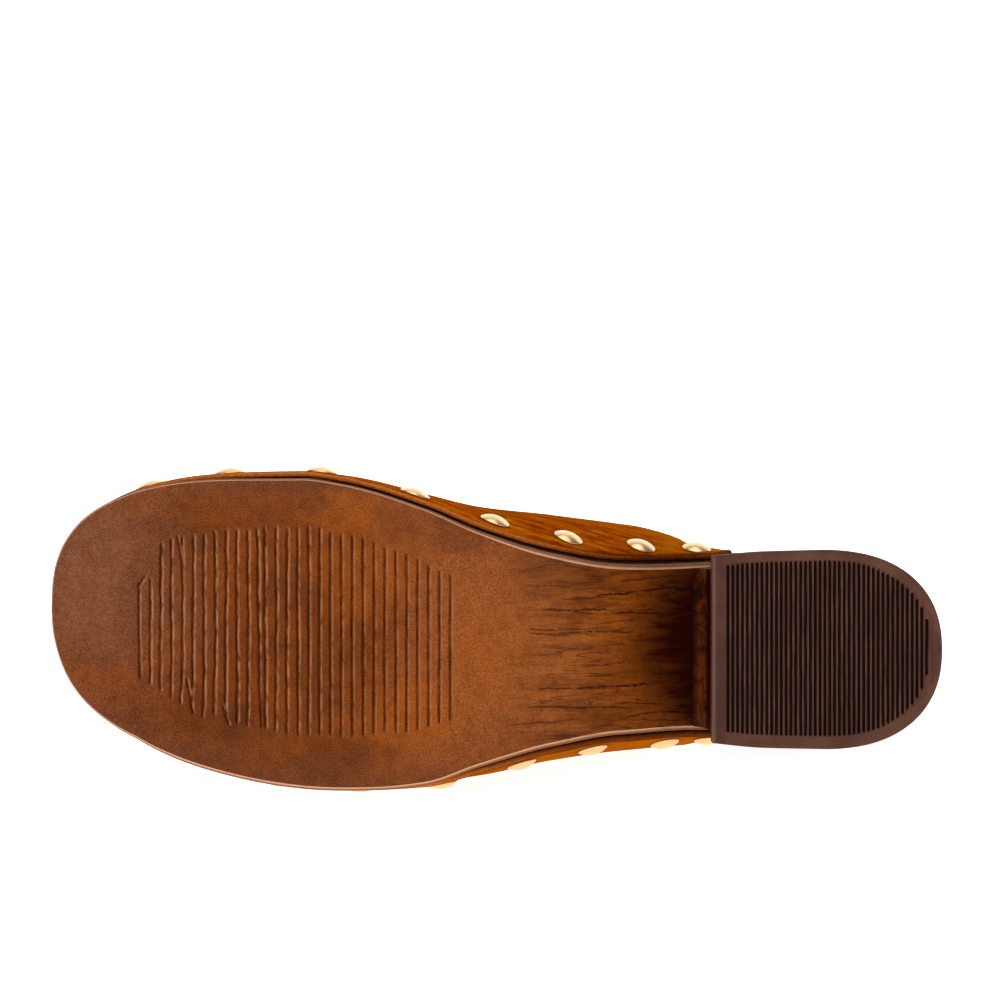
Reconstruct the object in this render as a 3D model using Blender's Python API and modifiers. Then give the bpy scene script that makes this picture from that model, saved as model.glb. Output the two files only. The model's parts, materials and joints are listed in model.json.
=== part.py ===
"""Heeled clog for the right foot: a studded leather mule on a wooden platform, lying on its outer side.

The shoe is worked out standing, in millimetres: X runs from the toe to the back, Y from the inner
side (minus) to the outer side (plus), and Z up from the tread.  Each piece is its own object.
An empty then lays the whole shoe down on the outer edge of its heel, its studs and its upper.
"""
import math
from collections import namedtuple

import bmesh
import bpy
import numpy as np
from mathutils import Matrix, Vector

MM = 0.001
GAP = 0.3
SIGN = {"medial": -1.0, "lateral": 1.0}

# Outline of the sole, seen from above: both toe quarters are superellipses from the tip to the ball.
SOLE_BACK_X = 260.0
BED_BACK_X = 261.5
TOE_TIP_Y = -10.0
BALL_X = {"medial": 72.0, "lateral": 84.0}
TOE_POWER = {"medial": 2.9, "lateral": 2.1}
HEEL_ROUND_X = 224.0
HEEL_MID_Y = 2.8
HEEL_POWER = 2.3

# Edges of the platform behind the toe: its underside (sole) and its top (bed), inner and outer side.
Edge = namedtuple("Edge", "x sole_medial sole_lateral bed_medial bed_lateral")
EDGES = (
    Edge(60.0, -47.2, 41.3, -47.2, 41.3),
    Edge(72.0, -47.2, 43.4, -47.2, 43.4),
    Edge(84.0, -45.5, 44.2, -45.9, 44.2),
    Edge(108.0, -38.2, 41.9, -40.4, 44.0),
    Edge(124.0, -31.1, 37.9, -36.0, 42.0),
    Edge(145.0, -24.6, 31.8, -32.2, 37.4),
    Edge(166.0, -22.1, 30.0, -29.6, 33.6),
    Edge(195.0, -21.9, 30.4, -26.2, 31.2),
    Edge(208.0, -24.3, 31.0, -25.0, 31.0),
    Edge(224.0, -24.9, 31.2, -24.7, 30.8),
)

# Side view: height of the tread under the sole, and of the footbed, along the shoe.
Profile = namedtuple("Profile", "x tread bed")
PROFILES = (
    Profile(0.0, 8.0, 29.6),
    Profile(12.0, 4.4, 26.6),
    Profile(25.0, 1.4, 23.6),
    Profile(40.0, 0.0, 22.0),
    Profile(70.0, 0.0, 22.0),
    Profile(110.0, 0.0, 24.8),
    Profile(124.0, 2.8, 28.6),
    Profile(145.0, 10.2, 36.6),
    Profile(166.0, 21.8, 46.0),
    Profile(195.0, 38.2, 57.0),
    Profile(224.0, 38.2, 60.5),
    Profile(262.0, 38.2, 61.0),
)

# Top line of the last, from the toe box up the instep.
Ridge = namedtuple("Ridge", "x y z")
RIDGES = (
    Ridge(20.0, -10.0, 49.0),
    Ridge(40.0, -10.5, 56.0),
    Ridge(70.0, -9.0, 64.5),
    Ridge(100.0, -5.5, 76.0),
    Ridge(130.0, -2.0, 90.0),
    Ridge(150.0, 0.0, 99.0),
    Ridge(205.0, 1.0, 118.0),
)
RIDGE_LEAD = 20.0
RIDGE_LEAD_FADE = 26.0

# Collar: how far back the upper reaches at each rise, from its lower edge (-1) over the footbed (0)
# to the top line (1).
Collar = namedtuple("Collar", "rise x")
COLLAR = (
    Collar(-1.0, 203.0),
    Collar(-0.5, 199.0),
    Collar(0.0, 190.0),
    Collar(0.12, 178.0),
    Collar(0.28, 166.0),
    Collar(0.5, 154.5),
    Collar(0.75, 146.0),
    Collar(1.0, 143.0),
)

OUTSOLE_THICKNESS = 4.0
OUTSOLE_CHAMFER = 1.2
BREAST_X = 195.0
PLATFORM_EDGE_ROUND = 1.0

UPPER_WALL = 1.8
UPPER_CLEARANCE = 0.4
UPPER_LOWER_EDGE = 1.5
VAMP_RISE = 0.62
VAMP_CROWN = 0.58

INSOLE_THICKNESS = 1.5
INSOLE_INSET = 1.2

# Heel: the D-shaped rubber piece on the floor, and the block above it.
HeelEdge = namedtuple("HeelEdge", "x heel_medial heel_lateral")
HEEL_EDGES = (
    HeelEdge(191.7, -24.4, 30.0),
    HeelEdge(206.0, -25.6, 31.3),
    HeelEdge(224.0, -26.1, 31.7),
)
HEEL_FRONT_X = 191.7
HEEL_BACK_X = 258.3
TOP_PIECE_THICKNESS = 6.0
TOP_PIECE_CHAMFER = 0.5
HEEL_BLOCK_FRONT_X = 195.3
HEEL_BLOCK_INSET = 0.2

STUD_RADIUS = 4.3
STUD_DOME = 1.5
STUD_SKIRT = 0.1
STUD_SEGMENTS = 14
TOE_STUDS = 3
TOE_STUD_RISE = 10.5

# Studs from the toe back: X on each side, and height of the nail over the platform's underside.
Stud = namedtuple("Stud", "medial lateral rise")
STUDS = (
    Stud(24.4, 39.6, 10.5),
    Stud(50.0, 64.6, 10.5),
    Stud(77.0, 88.7, 10.5),
    Stud(104.4, 112.8, 10.5),
    Stud(128.2, 136.3, 10.5),
    Stud(150.5, 158.3, 10.5),
    Stud(173.0, 180.0, 9.5),
    Stud(190.5, 193.5, 7.5),
)

OUTLINE_SAMPLES = 900
OUTSOLE_STATIONS = 34
PLATFORM_STATIONS = 50
PLATFORM_WALL_LEVELS = 4
INSOLE_STATIONS = 34
HEEL_STATIONS = 20
UPPER_STATIONS = 42
WALL_RISES = 3
VAMP_RISES = 9

# Density in grams a cubic centimetre, for the shoe's centre of mass.
DENSITY = {"upper": 0.95, "platform": 0.55, "heel_block": 0.55, "outsole": 1.1,
           "heel_top_piece": 1.2, "insole": 0.6, "stud": 7.8}

Finish = namedtuple("Finish", "color roughness metallic")
FINISHES = {
    "upper": Finish((0.42, 0.16, 0.035), 0.45, 0.0),
    "platform": Finish((0.20, 0.085, 0.03), 0.6, 0.0),
    "heel_block": Finish((0.10, 0.035, 0.015), 0.55, 0.0),
    "outsole": Finish((0.23, 0.085, 0.025), 0.5, 0.0),
    "heel_top_piece": Finish((0.045, 0.022, 0.018), 0.6, 0.0),
    "insole": Finish((0.38, 0.24, 0.13), 0.7, 0.0),
    "stud": Finish((0.85, 0.62, 0.36), 0.2, 1.0),
}


def smooth(table, column, x):
    """Monotone cubic through one column of a table: it never overshoots, and flat rows stay flat."""
    xs = np.array([row[0] for row in table])
    ys = np.array([getattr(row, column) for row in table])
    step = np.diff(xs)
    secant = np.diff(ys) / step
    product = secant[:-1] * secant[1:]
    total = secant[:-1] + secant[1:]
    same_way = product > 0.0
    slope = np.concatenate([secant[:1], np.zeros(len(product)), secant[-1:]])
    slope[1:-1][same_way] = 2.0 * product[same_way] / total[same_way]
    place = np.clip(np.searchsorted(xs, x) - 1, 0, len(step) - 1)
    u = np.clip((x - xs[place]) / step[place], 0.0, 1.0)
    rise = u * u * (3.0 - 2.0 * u)
    lean_in = u * (1.0 - u) ** 2 * step[place]
    lean_out = u * u * (u - 1.0) * step[place]
    level = ys[place] + (ys[place + 1] - ys[place]) * rise
    return level + slope[place] * lean_in + slope[place + 1] * lean_out


def superellipse(t, power):
    """Half width at t, from 1 in the middle (t = 0) to 0 at the end (t = 1)."""
    return (1.0 - np.clip(t, 0.0, 1.0) ** power) ** (1.0 / power)


def edge_y(x, side, level, back):
    """Y of an outline at X: a round toe, the table through the waist, and a round heel."""
    table = HEEL_EDGES if level == "heel" else EDGES
    ball = BALL_X[side]
    y = smooth(table, f"{level}_{side}", np.clip(x, ball, HEEL_ROUND_X))
    toe = superellipse((ball - x) / ball, TOE_POWER[side])
    heel = superellipse((x - HEEL_ROUND_X) / (back - HEEL_ROUND_X), HEEL_POWER)
    middle = np.where(x < HEEL_ROUND_X, TOE_TIP_Y, HEEL_MID_Y)
    return middle + (y - middle) * toe * heel


class HalfOutline:
    """One side of an outline from front to back, with its length, its points and outward normals."""

    def __init__(self, side, level, front, back):
        turn = np.linspace(0.0, math.pi, OUTLINE_SAMPLES)
        self.x = front + 0.5 * (back - front) * (1.0 - np.cos(turn))
        self.y = edge_y(self.x, side, level, back)
        steps = np.hypot(np.diff(self.x), np.diff(self.y))
        self.length = np.concatenate([[0.0], np.cumsum(steps)])
        along_x = np.gradient(self.x, self.length)
        along_y = np.gradient(self.y, self.length)
        size = np.hypot(along_x, along_y)
        self.normal_x = -SIGN[side] * along_y / size
        self.normal_y = SIGN[side] * along_x / size

    def length_to(self, x):
        """Length of the outline from its front to X."""
        return np.interp(x, self.x, self.length)

    def x_at(self, length):
        """X after a length of outline."""
        return np.interp(length, self.length, self.x)

    def even_lengths(self, count, stop_x):
        """Lengths of points that are spread evenly from the front to stop_x."""
        return np.linspace(0.0, self.length_to(stop_x), count)

    def points(self, length, grow):
        """X and Y after a length of outline, moved outward by grow."""
        x = self.x_at(length) + grow * np.interp(length, self.length, self.normal_x)
        y = np.interp(length, self.length, self.y) + grow * np.interp(length, self.length, self.normal_y)
        return x, y


SOLE = {side: HalfOutline(side, "sole", 0.0, SOLE_BACK_X) for side in SIGN}
BED = {side: HalfOutline(side, "bed", 0.0, BED_BACK_X) for side in SIGN}
HEEL = {side: HalfOutline(side, "heel", HEEL_FRONT_X, HEEL_BACK_X) for side in SIGN}


def tread_z(x):
    """Height of the sole's underside."""
    return smooth(PROFILES, "tread", x)


def bed_z(x):
    """Height of the footbed."""
    return smooth(PROFILES, "bed", x)


def platform_bottom_z(x):
    """Height of the platform's underside, on top of the outsole and the heel."""
    return tread_z(x) + OUTSOLE_THICKNESS + GAP


def finish_for(kind):
    """Principled material of a kind of piece, made once."""
    found = bpy.data.materials.get(kind)
    if found:
        return found
    material = bpy.data.materials.new(kind)
    material.use_nodes = True
    shader = material.node_tree.nodes["Principled BSDF"]
    shader.inputs["Base Color"].default_value = (*FINISHES[kind].color, 1.0)
    shader.inputs["Roughness"].default_value = FINISHES[kind].roughness
    shader.inputs["Metallic"].default_value = FINISHES[kind].metallic
    return material


def add_piece(name, kind, mesh):
    """Object for a mesh, in the clog's collection, with its material."""
    if not mesh.materials:
        mesh.materials.append(finish_for(kind))
    piece = bpy.data.objects.new(name, mesh)
    piece["kind"] = kind
    clog.objects.link(piece)
    return piece


def mesh_of(name, points, faces):
    """Mesh from points in millimetres, with doubled points merged, shaded smooth with sharp edges."""
    built = bmesh.new()
    corners = [built.verts.new(Vector(point) * MM) for point in points]
    for face in faces:
        built.faces.new([corners[index] for index in face])
    bmesh.ops.remove_doubles(built, verts=built.verts, dist=1e-6)
    mesh = bpy.data.meshes.new(name)
    built.to_mesh(mesh)
    built.free()
    mesh.shade_smooth()
    mesh.set_sharp_from_angle(angle=math.radians(35.0))
    return mesh


def stack(name, kind, levels):
    """Solid through levels from the bottom up, each a pair of half outlines (medial, lateral).

    A level's loop runs down the medial half and back up the lateral half.  Walls join each loop to
    the next, and rungs between the two halves close the bottom and the top.
    """
    loops = np.array([np.concatenate([medial, lateral[::-1]]) for medial, lateral in levels])
    level_count, size, _ = loops.shape
    faces = []
    for level in range(level_count - 1):
        low = level * size
        for k in range(size):
            after = (k + 1) % size
            faces.append((low + k, low + after, low + size + after, low + size + k))
    top = (level_count - 1) * size
    for k in range(size // 2 - 1):
        across = size - 1 - k
        faces.append((k, across, across - 1, k + 1))
        faces.append((top + k, top + k + 1, top + across - 1, top + across))
    return add_piece(name, kind, mesh_of(name, loops.reshape(-1, 3), faces))


def half_level(outline, length, grow, height):
    """Points of one half of a level: the outline grown by grow, at a height given by a function of X."""
    x, y = outline.points(length, grow)
    return np.stack([x, y, height(outline.x_at(length))], axis=1)


def outsole():
    """Sole sheet from the toe to the heel breast, with a chamfered lower rim."""
    rims = ((-OUTSOLE_CHAMFER, 0.0), (0.0, OUTSOLE_CHAMFER), (0.0, OUTSOLE_THICKNESS))
    levels = []
    for grow, rise in rims:
        halves = []
        for outline in SOLE.values():
            length = outline.even_lengths(OUTSOLE_STATIONS, BREAST_X)
            halves.append(half_level(outline, length, grow, lambda x: tread_z(x) + rise))
        levels.append(halves)
    stack("outsole", "outsole", levels)


def platform():
    """Wooden body under the foot: upright at the toe, and flaring outward up the waist."""
    ends = (
        (SOLE, 0.0, platform_bottom_z),
        (BED, 0.0, lambda x: bed_z(x) - PLATFORM_EDGE_ROUND),
        (BED, -PLATFORM_EDGE_ROUND, bed_z),
    )
    rims = []
    for outlines, grow, height in ends:
        halves = []
        for side, outline in outlines.items():
            bed_length = BED[side].even_lengths(PLATFORM_STATIONS, BED_BACK_X)
            share = BED[side].x_at(bed_length) / BED_BACK_X
            length = outline.length_to(share * outline.x[-1])
            halves.append(half_level(outline, length, grow, height))
        rims.append(np.array(halves))
    low, edge, top = rims
    walls = [low + (edge - low) * share for share in np.linspace(0.0, 1.0, PLATFORM_WALL_LEVELS)]
    stack("platform", "platform", [*walls, top])


def insole():
    """Thin sock on the footbed."""
    levels = []
    for rise in (GAP, GAP + INSOLE_THICKNESS):
        halves = []
        for outline in BED.values():
            length = outline.even_lengths(INSOLE_STATIONS, BED_BACK_X)
            halves.append(half_level(outline, length, -INSOLE_INSET, lambda x: bed_z(x) + rise))
        levels.append(halves)
    stack("insole", "insole", levels)


def heel_half(outline, front, inset, z):
    """Half of a heel level at height z, from the breast at front to the back."""
    start = outline.length_to(front)
    length = np.linspace(start, outline.length[-1], HEEL_STATIONS)
    x, y = outline.points(length, -inset)
    x[0] = front + inset
    return np.stack([x, y, np.full_like(x, z)], axis=1)


def heel_top_piece():
    """D-shaped rubber piece that the heel stands on."""
    rims = ((TOP_PIECE_CHAMFER, 0.0), (0.0, TOP_PIECE_CHAMFER), (0.0, TOP_PIECE_THICKNESS))
    levels = []
    for inset, z in rims:
        levels.append([heel_half(outline, HEEL_FRONT_X, inset, z) for outline in HEEL.values()])
    stack("heel_top_piece", "heel_top_piece", levels)


def heel_block():
    """Wooden block between the rubber piece and the platform."""
    low_z = TOP_PIECE_THICKNESS + GAP
    high_z = platform_bottom_z(HEEL_ROUND_X) - GAP
    low = [heel_half(outline, HEEL_FRONT_X, HEEL_BLOCK_INSET, low_z) for outline in HEEL.values()]
    high = [heel_half(outline, HEEL_BLOCK_FRONT_X, HEEL_BLOCK_INSET, high_z) for outline in SOLE.values()]
    stack("heel_block", "heel_block", [low, high])


def wall_ends(side, x):
    """Top and bottom of the upper's inner face along the platform's side, at X."""
    bed_x, bed_y = BED[side].points(BED[side].length_to(x), UPPER_CLEARANCE)
    sole_x, sole_y = SOLE[side].points(SOLE[side].length_to(x * SOLE_BACK_X / BED_BACK_X), UPPER_CLEARANCE)
    top = np.stack([bed_x, bed_y, bed_z(x)], axis=-1)
    bottom = np.stack([sole_x, sole_y, platform_bottom_z(x)], axis=-1)
    return top, bottom


def wall_point(side, x, height):
    """Point of the upper's inner face at a height above the platform's underside, on its side."""
    top, bottom = wall_ends(side, x)
    share = height / (top[..., 2] - bottom[..., 2])
    return bottom + (top - bottom) * share[..., None]


def unit(vectors):
    """Vectors scaled to length 1."""
    return vectors / np.linalg.norm(vectors, axis=-1, keepdims=True)


def vamp_point(side, x, middle_x, rise):
    """Point of the upper's inner face over the foot.

    A cubic curve leaves the footbed's edge along the platform's side, and comes in level on the top
    line, whose point leads the edge at the toe so that the toe box closes in a fan.
    """
    base, bottom = wall_ends(side, x)
    ridge_x = middle_x + RIDGE_LEAD * np.exp(-middle_x / RIDGE_LEAD_FADE)
    ridge_y = smooth(RIDGES, "y", ridge_x)
    ridge_z = smooth(RIDGES, "z", ridge_x)
    ridge = np.stack([ridge_x, ridge_y, ridge_z], axis=-1)
    slope = (smooth(RIDGES, "z", ridge_x + 1.0) - ridge_z)
    outward = base - ridge
    outward[..., 2] = 0.0
    reach = np.linalg.norm(outward, axis=-1, keepdims=True)
    outward = outward / reach
    outward[..., 2] = slope * outward[..., 0]
    climb = (ridge_z - base[..., 2])[..., None]
    start = base + unit(base - bottom) * climb * VAMP_RISE
    end = ridge + outward * reach * VAMP_CROWN
    q = rise[..., None]
    fall = 1.0 - q
    return base * fall ** 3 + 3.0 * start * fall ** 2 * q + 3.0 * end * fall * q ** 2 + ridge * q ** 3


def upper():
    """Leather upper, one wall over the toe and instep and down the platform's side.

    A grid of stations from the toe to the collar, and of rises from the lower edge on the inner side
    over the top line to the lower edge on the outer side, gets its thickness outward.
    """
    wall = np.linspace(-1.0, 0.0, WALL_RISES + 1)[:-1]
    rises = np.concatenate([wall, np.linspace(0.0, 1.0, VAMP_RISES)])
    share = np.linspace(0.0, 1.0, UPPER_STATIONS)
    reach_x = smooth(COLLAR, "x", rises)
    station_x = {}
    for side, outline in BED.items():
        length = share[:, None] * outline.length_to(reach_x)[None, :]
        station_x[side] = outline.x_at(length)
    middle_x = 0.5 * (station_x["medial"] + station_x["lateral"])
    halves = {}
    for side, x in station_x.items():
        top, bottom = wall_ends(side, x)
        side_height = top[..., 2] - bottom[..., 2]
        drop = np.minimum(rises, 0.0)[None, :] * (side_height - UPPER_LOWER_EDGE)
        low = wall_point(side, x, side_height + drop)
        high = vamp_point(side, x, middle_x, np.broadcast_to(np.maximum(rises, 0.0), x.shape))
        halves[side] = np.where((rises < 0.0)[None, :, None], low, high)
    grid = np.concatenate([halves["medial"], halves["lateral"][:, -2::-1]], axis=1)
    rows, columns, _ = grid.shape
    faces = []
    for row in range(rows - 1):
        for column in range(columns - 1):
            here = row * columns + column
            faces.append((here, here + columns, here + columns + 1, here + 1))
    piece = add_piece("upper", "upper", mesh_of("upper", grid.reshape(-1, 3), faces))
    shell = piece.modifiers.new("leather", "SOLIDIFY")
    shell.thickness = UPPER_WALL * MM
    shell.offset = 1.0
    shell.use_even_offset = True


def stud_mesh():
    """Profile of a domed nail head, turned about Z by each stud's Screw."""
    ball = (STUD_RADIUS ** 2 + STUD_DOME ** 2) / (2.0 * STUD_DOME)
    full = math.asin(STUD_RADIUS / ball)
    profile = []
    for angle in np.linspace(0.0, full, 5):
        profile.append((ball * math.sin(angle), 0.0, STUD_SKIRT + STUD_DOME - ball * (1.0 - math.cos(angle))))
    profile.append((STUD_RADIUS, 0.0, 0.0))
    profile.append((0.0, 0.0, 0.0))
    mesh = bpy.data.meshes.new("stud")
    edges = [(k, k + 1) for k in range(len(profile) - 1)]
    mesh.from_pydata([Vector(point) * MM for point in profile], edges, [])
    return mesh


def add_stud(name, mesh, side, x, rise):
    """Nail head on the upper's outer face, square to the wall."""
    nudge = 0.5
    lengths = BED[side].length_to(x) + np.array([0.0, nudge])
    along = BED[side].x_at(lengths)
    here, ahead = wall_point(side, along, np.full(2, rise))
    above = wall_point(side, along[:1], np.full(1, rise + nudge))[0]
    normal = unit(np.cross(ahead - here, above - here)) * -SIGN[side]
    seat = here + normal * (UPPER_WALL + GAP)
    piece = add_piece(name, "stud", mesh)
    turn = Vector(normal).to_track_quat("Z", "Y").to_matrix().to_4x4()
    piece.matrix_world = Matrix.Translation(Vector(seat) * MM) @ turn
    spin = piece.modifiers.new("turned", "SCREW")
    spin.axis = "Z"
    spin.steps = STUD_SEGMENTS
    spin.render_steps = STUD_SEGMENTS
    spin.use_merge_vertices = True
    spin.merge_threshold = 1e-5
    spin.use_smooth_shade = True


def studs():
    """Rows of studs down both sides, and the toe's studs spaced evenly between the first of each."""
    mesh = stud_mesh()
    for side in SIGN:
        for number, stud in enumerate(STUDS, start=1):
            add_stud(f"stud_{side}_{number}", mesh, side, getattr(stud, side), stud.rise)
    first = {side: BED[side].length_to(getattr(STUDS[0], side)) for side in SIGN}
    toe_row = np.linspace(-first["medial"], first["lateral"], TOE_STUDS + 2)[1:-1]
    for number, length in enumerate(toe_row, start=1):
        side = "medial" if length < 0.0 else "lateral"
        add_stud(f"stud_toe_{number}", mesh, side, BED[side].x_at(abs(length)), TOE_STUD_RISE)


def solid_points(piece):
    """World points and triangles of a piece as its modifiers leave it."""
    evaluated = piece.evaluated_get(bpy.context.evaluated_depsgraph_get())
    mesh = evaluated.to_mesh()
    mesh.calc_loop_triangles()
    points = np.array([piece.matrix_world @ corner.co for corner in mesh.vertices])
    triangles = np.array([triangle.vertices[:] for triangle in mesh.loop_triangles])
    evaluated.to_mesh_clear()
    return points, triangles


def mass_center(solids):
    """Centre of mass of the pieces, from the signed volumes under their triangles."""
    moment = np.zeros(3)
    mass = 0.0
    for kind, points, triangles in solids:
        a, b, c = (points[triangles[:, corner]] for corner in range(3))
        volume = np.einsum("ij,ij->i", a, np.cross(b, c)) / 6.0
        moment += DENSITY[kind] * (volume[:, None] * (a + b + c) / 4.0).sum(axis=0)
        mass += DENSITY[kind] * volume.sum()
    return Vector(moment / mass)


def floor_normal(points, center):
    """Direction of the floor: the hull's outermost facet that the centre of mass is over."""
    hull = bmesh.new()
    for point in points:
        hull.verts.new(point)
    bmesh.ops.convex_hull(hull, input=hull.verts, use_existing_faces=False)
    best = Vector((0.0, 0.0, 0.0))
    for face in hull.faces:
        face.normal_update()
        normal = face.normal.copy()
        foot = center + normal * (face.verts[0].co - center).dot(normal)
        inside = True
        for loop in face.loops:
            edge = loop.link_loop_next.vert.co - loop.vert.co
            inside = inside and edge.cross(foot - loop.vert.co).dot(normal) >= 0.0
        if inside and normal.y > best.y:
            best = normal
    hull.free()
    return best


def lay_down():
    """Parent all pieces to an empty that lays the shoe on its outer side, over the origin."""
    bpy.context.view_layer.update()
    pieces = list(clog.objects)
    solids = [(piece["kind"], *solid_points(piece)) for piece in pieces]
    cloud = np.concatenate([points for _, points, _ in solids])
    down = floor_normal(cloud, mass_center(solids))
    up = -down
    length_axis = (Vector((1.0, 0.0, 0.0)) - down * down.x).normalized()
    turn = Matrix((length_axis, up.cross(length_axis), up)).to_4x4()
    laid = cloud @ np.array(turn.to_3x3()).T
    low = laid.min(axis=0)
    high = laid.max(axis=0)
    center = Vector((0.5 * (low[0] + high[0]), 0.5 * (low[1] + high[1]), low[2]))
    rest = bpy.data.objects.new("lying", None)
    rest.matrix_world = Matrix.Translation(-center) @ turn
    clog.objects.link(rest)
    for piece in pieces:
        piece.parent = rest


for old in list(bpy.data.objects):
    bpy.data.objects.remove(old, do_unlink=True)
clog = bpy.data.collections.new("heeled_clog")
bpy.context.scene.collection.children.link(clog)

outsole()
platform()
insole()
heel_top_piece()
heel_block()
upper()
studs()
lay_down()
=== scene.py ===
"""Looks of the heeled clog: a studded leather mule on a wooden platform, lying on its outer side.

Every surface is worked out standing, in millimetres (X from the toe back, Y from the inner side to
the outer side, Z up from the tread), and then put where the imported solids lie.
"""
import json
import math
from collections import namedtuple
from functools import cached_property

import bmesh
import bpy
import numpy as np
from mathutils import Matrix, Vector


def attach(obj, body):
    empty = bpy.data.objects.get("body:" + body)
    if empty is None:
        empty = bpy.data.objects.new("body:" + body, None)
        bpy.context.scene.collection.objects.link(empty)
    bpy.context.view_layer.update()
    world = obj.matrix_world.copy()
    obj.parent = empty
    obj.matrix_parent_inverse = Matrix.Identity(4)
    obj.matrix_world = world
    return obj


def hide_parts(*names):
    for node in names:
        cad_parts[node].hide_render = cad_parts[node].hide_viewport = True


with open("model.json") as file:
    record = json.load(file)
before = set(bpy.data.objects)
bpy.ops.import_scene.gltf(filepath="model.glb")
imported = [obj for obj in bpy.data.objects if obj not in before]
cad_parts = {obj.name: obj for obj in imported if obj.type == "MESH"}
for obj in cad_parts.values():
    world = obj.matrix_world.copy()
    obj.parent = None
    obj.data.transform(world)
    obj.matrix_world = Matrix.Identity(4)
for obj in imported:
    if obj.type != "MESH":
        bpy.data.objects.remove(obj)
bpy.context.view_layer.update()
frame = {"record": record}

# Camera.  It looks square at the tread from 600 mm below the standing shoe, so the shoe lies across
# the picture with its toe to the left, and the floor that it lies on is a little rolled.
MM = 0.001
FOREFOOT_MOUNT_X = 75.0
MOUNT_Y = 2.8
CAMERA_AT = (130.0, -40.6, -600.0)
CAMERA_FOCAL = 2.07
SENSOR = 36.0
CLIP_START = 0.01

# The standing axes come from the mounts under the forefoot and the heel.
mounts = {mount["name"]: mount for mount in frame["record"]["mounts"]}
forefoot = np.array(mounts["forefoot_tread"]["pos_m"])
back_axis = np.array(mounts["heel_tread"]["pos_m"]) - forefoot
back_axis = back_axis / np.linalg.norm(back_axis)
up_axis = -np.array(mounts["forefoot_tread"]["axis"])
up_axis = up_axis - back_axis * (up_axis @ back_axis)
up_axis = up_axis / np.linalg.norm(up_axis)
outer_axis = np.cross(up_axis, back_axis)
standing_axes = np.stack([back_axis, outer_axis, up_axis])
toe_origin = forefoot - MM * (FOREFOOT_MOUNT_X * back_axis + MOUNT_Y * outer_axis)


def lay(points):
    """World points, in metres, of points on the standing shoe in millimetres."""
    return toe_origin + MM * np.asarray(points, float) @ standing_axes


camera_data = bpy.data.cameras.new("camera")
camera_data.sensor_width = SENSOR
camera_data.lens = SENSOR * CAMERA_FOCAL
camera_data.clip_start = CLIP_START
camera = bpy.data.objects.new("camera", camera_data)
camera_turn = Matrix(np.stack([back_axis, -outer_axis, -up_axis], axis=1).tolist())
camera.matrix_world = Matrix.Translation(Vector(lay(CAMERA_AT))) @ camera_turn.to_4x4()
bpy.context.scene.collection.objects.link(camera)
bpy.context.scene.camera = camera
bpy.context.scene.view_settings.view_transform = "Standard"


# Floor, backdrop and light.  A white shooting table that is lit through, a white wall far behind the
# shoe, a softbox at the toe's end, one beside the camera and one overhead, in a dim even room.
class Wire:
    """Output socket of a node, with the operators that add Math nodes behind it."""

    def __init__(self, finish, socket):
        self.finish = finish
        self.socket = socket

    def math(self, operation, *numbers):
        """Math node on this wire and other wires or numbers."""
        return self.finish.node("ShaderNodeMath", {"operation": operation}, enumerate((self, *numbers)))

    def __add__(self, other):
        return self.math("ADD", other)

    def __sub__(self, other):
        return self.math("SUBTRACT", other)

    def __rsub__(self, other):
        return self.finish.node("ShaderNodeMath", {"operation": "SUBTRACT"}, {0: other, 1: self})

    def __mul__(self, other):
        return self.math("MULTIPLY", other)

    def __abs__(self):
        return self.math("ABSOLUTE")

    __radd__ = __add__
    __rmul__ = __mul__

    def most(self, other):
        """The larger of this wire and another."""
        return self.math("MAXIMUM", other)

    def ease(self, low, high):
        """0 at low and 1 at high, with a soft start and end."""
        inputs = {"Value": self, "From Min": low, "From Max": high}
        return self.finish.node("ShaderNodeMapRange", {"interpolation_type": "SMOOTHSTEP"}, inputs)


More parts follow.
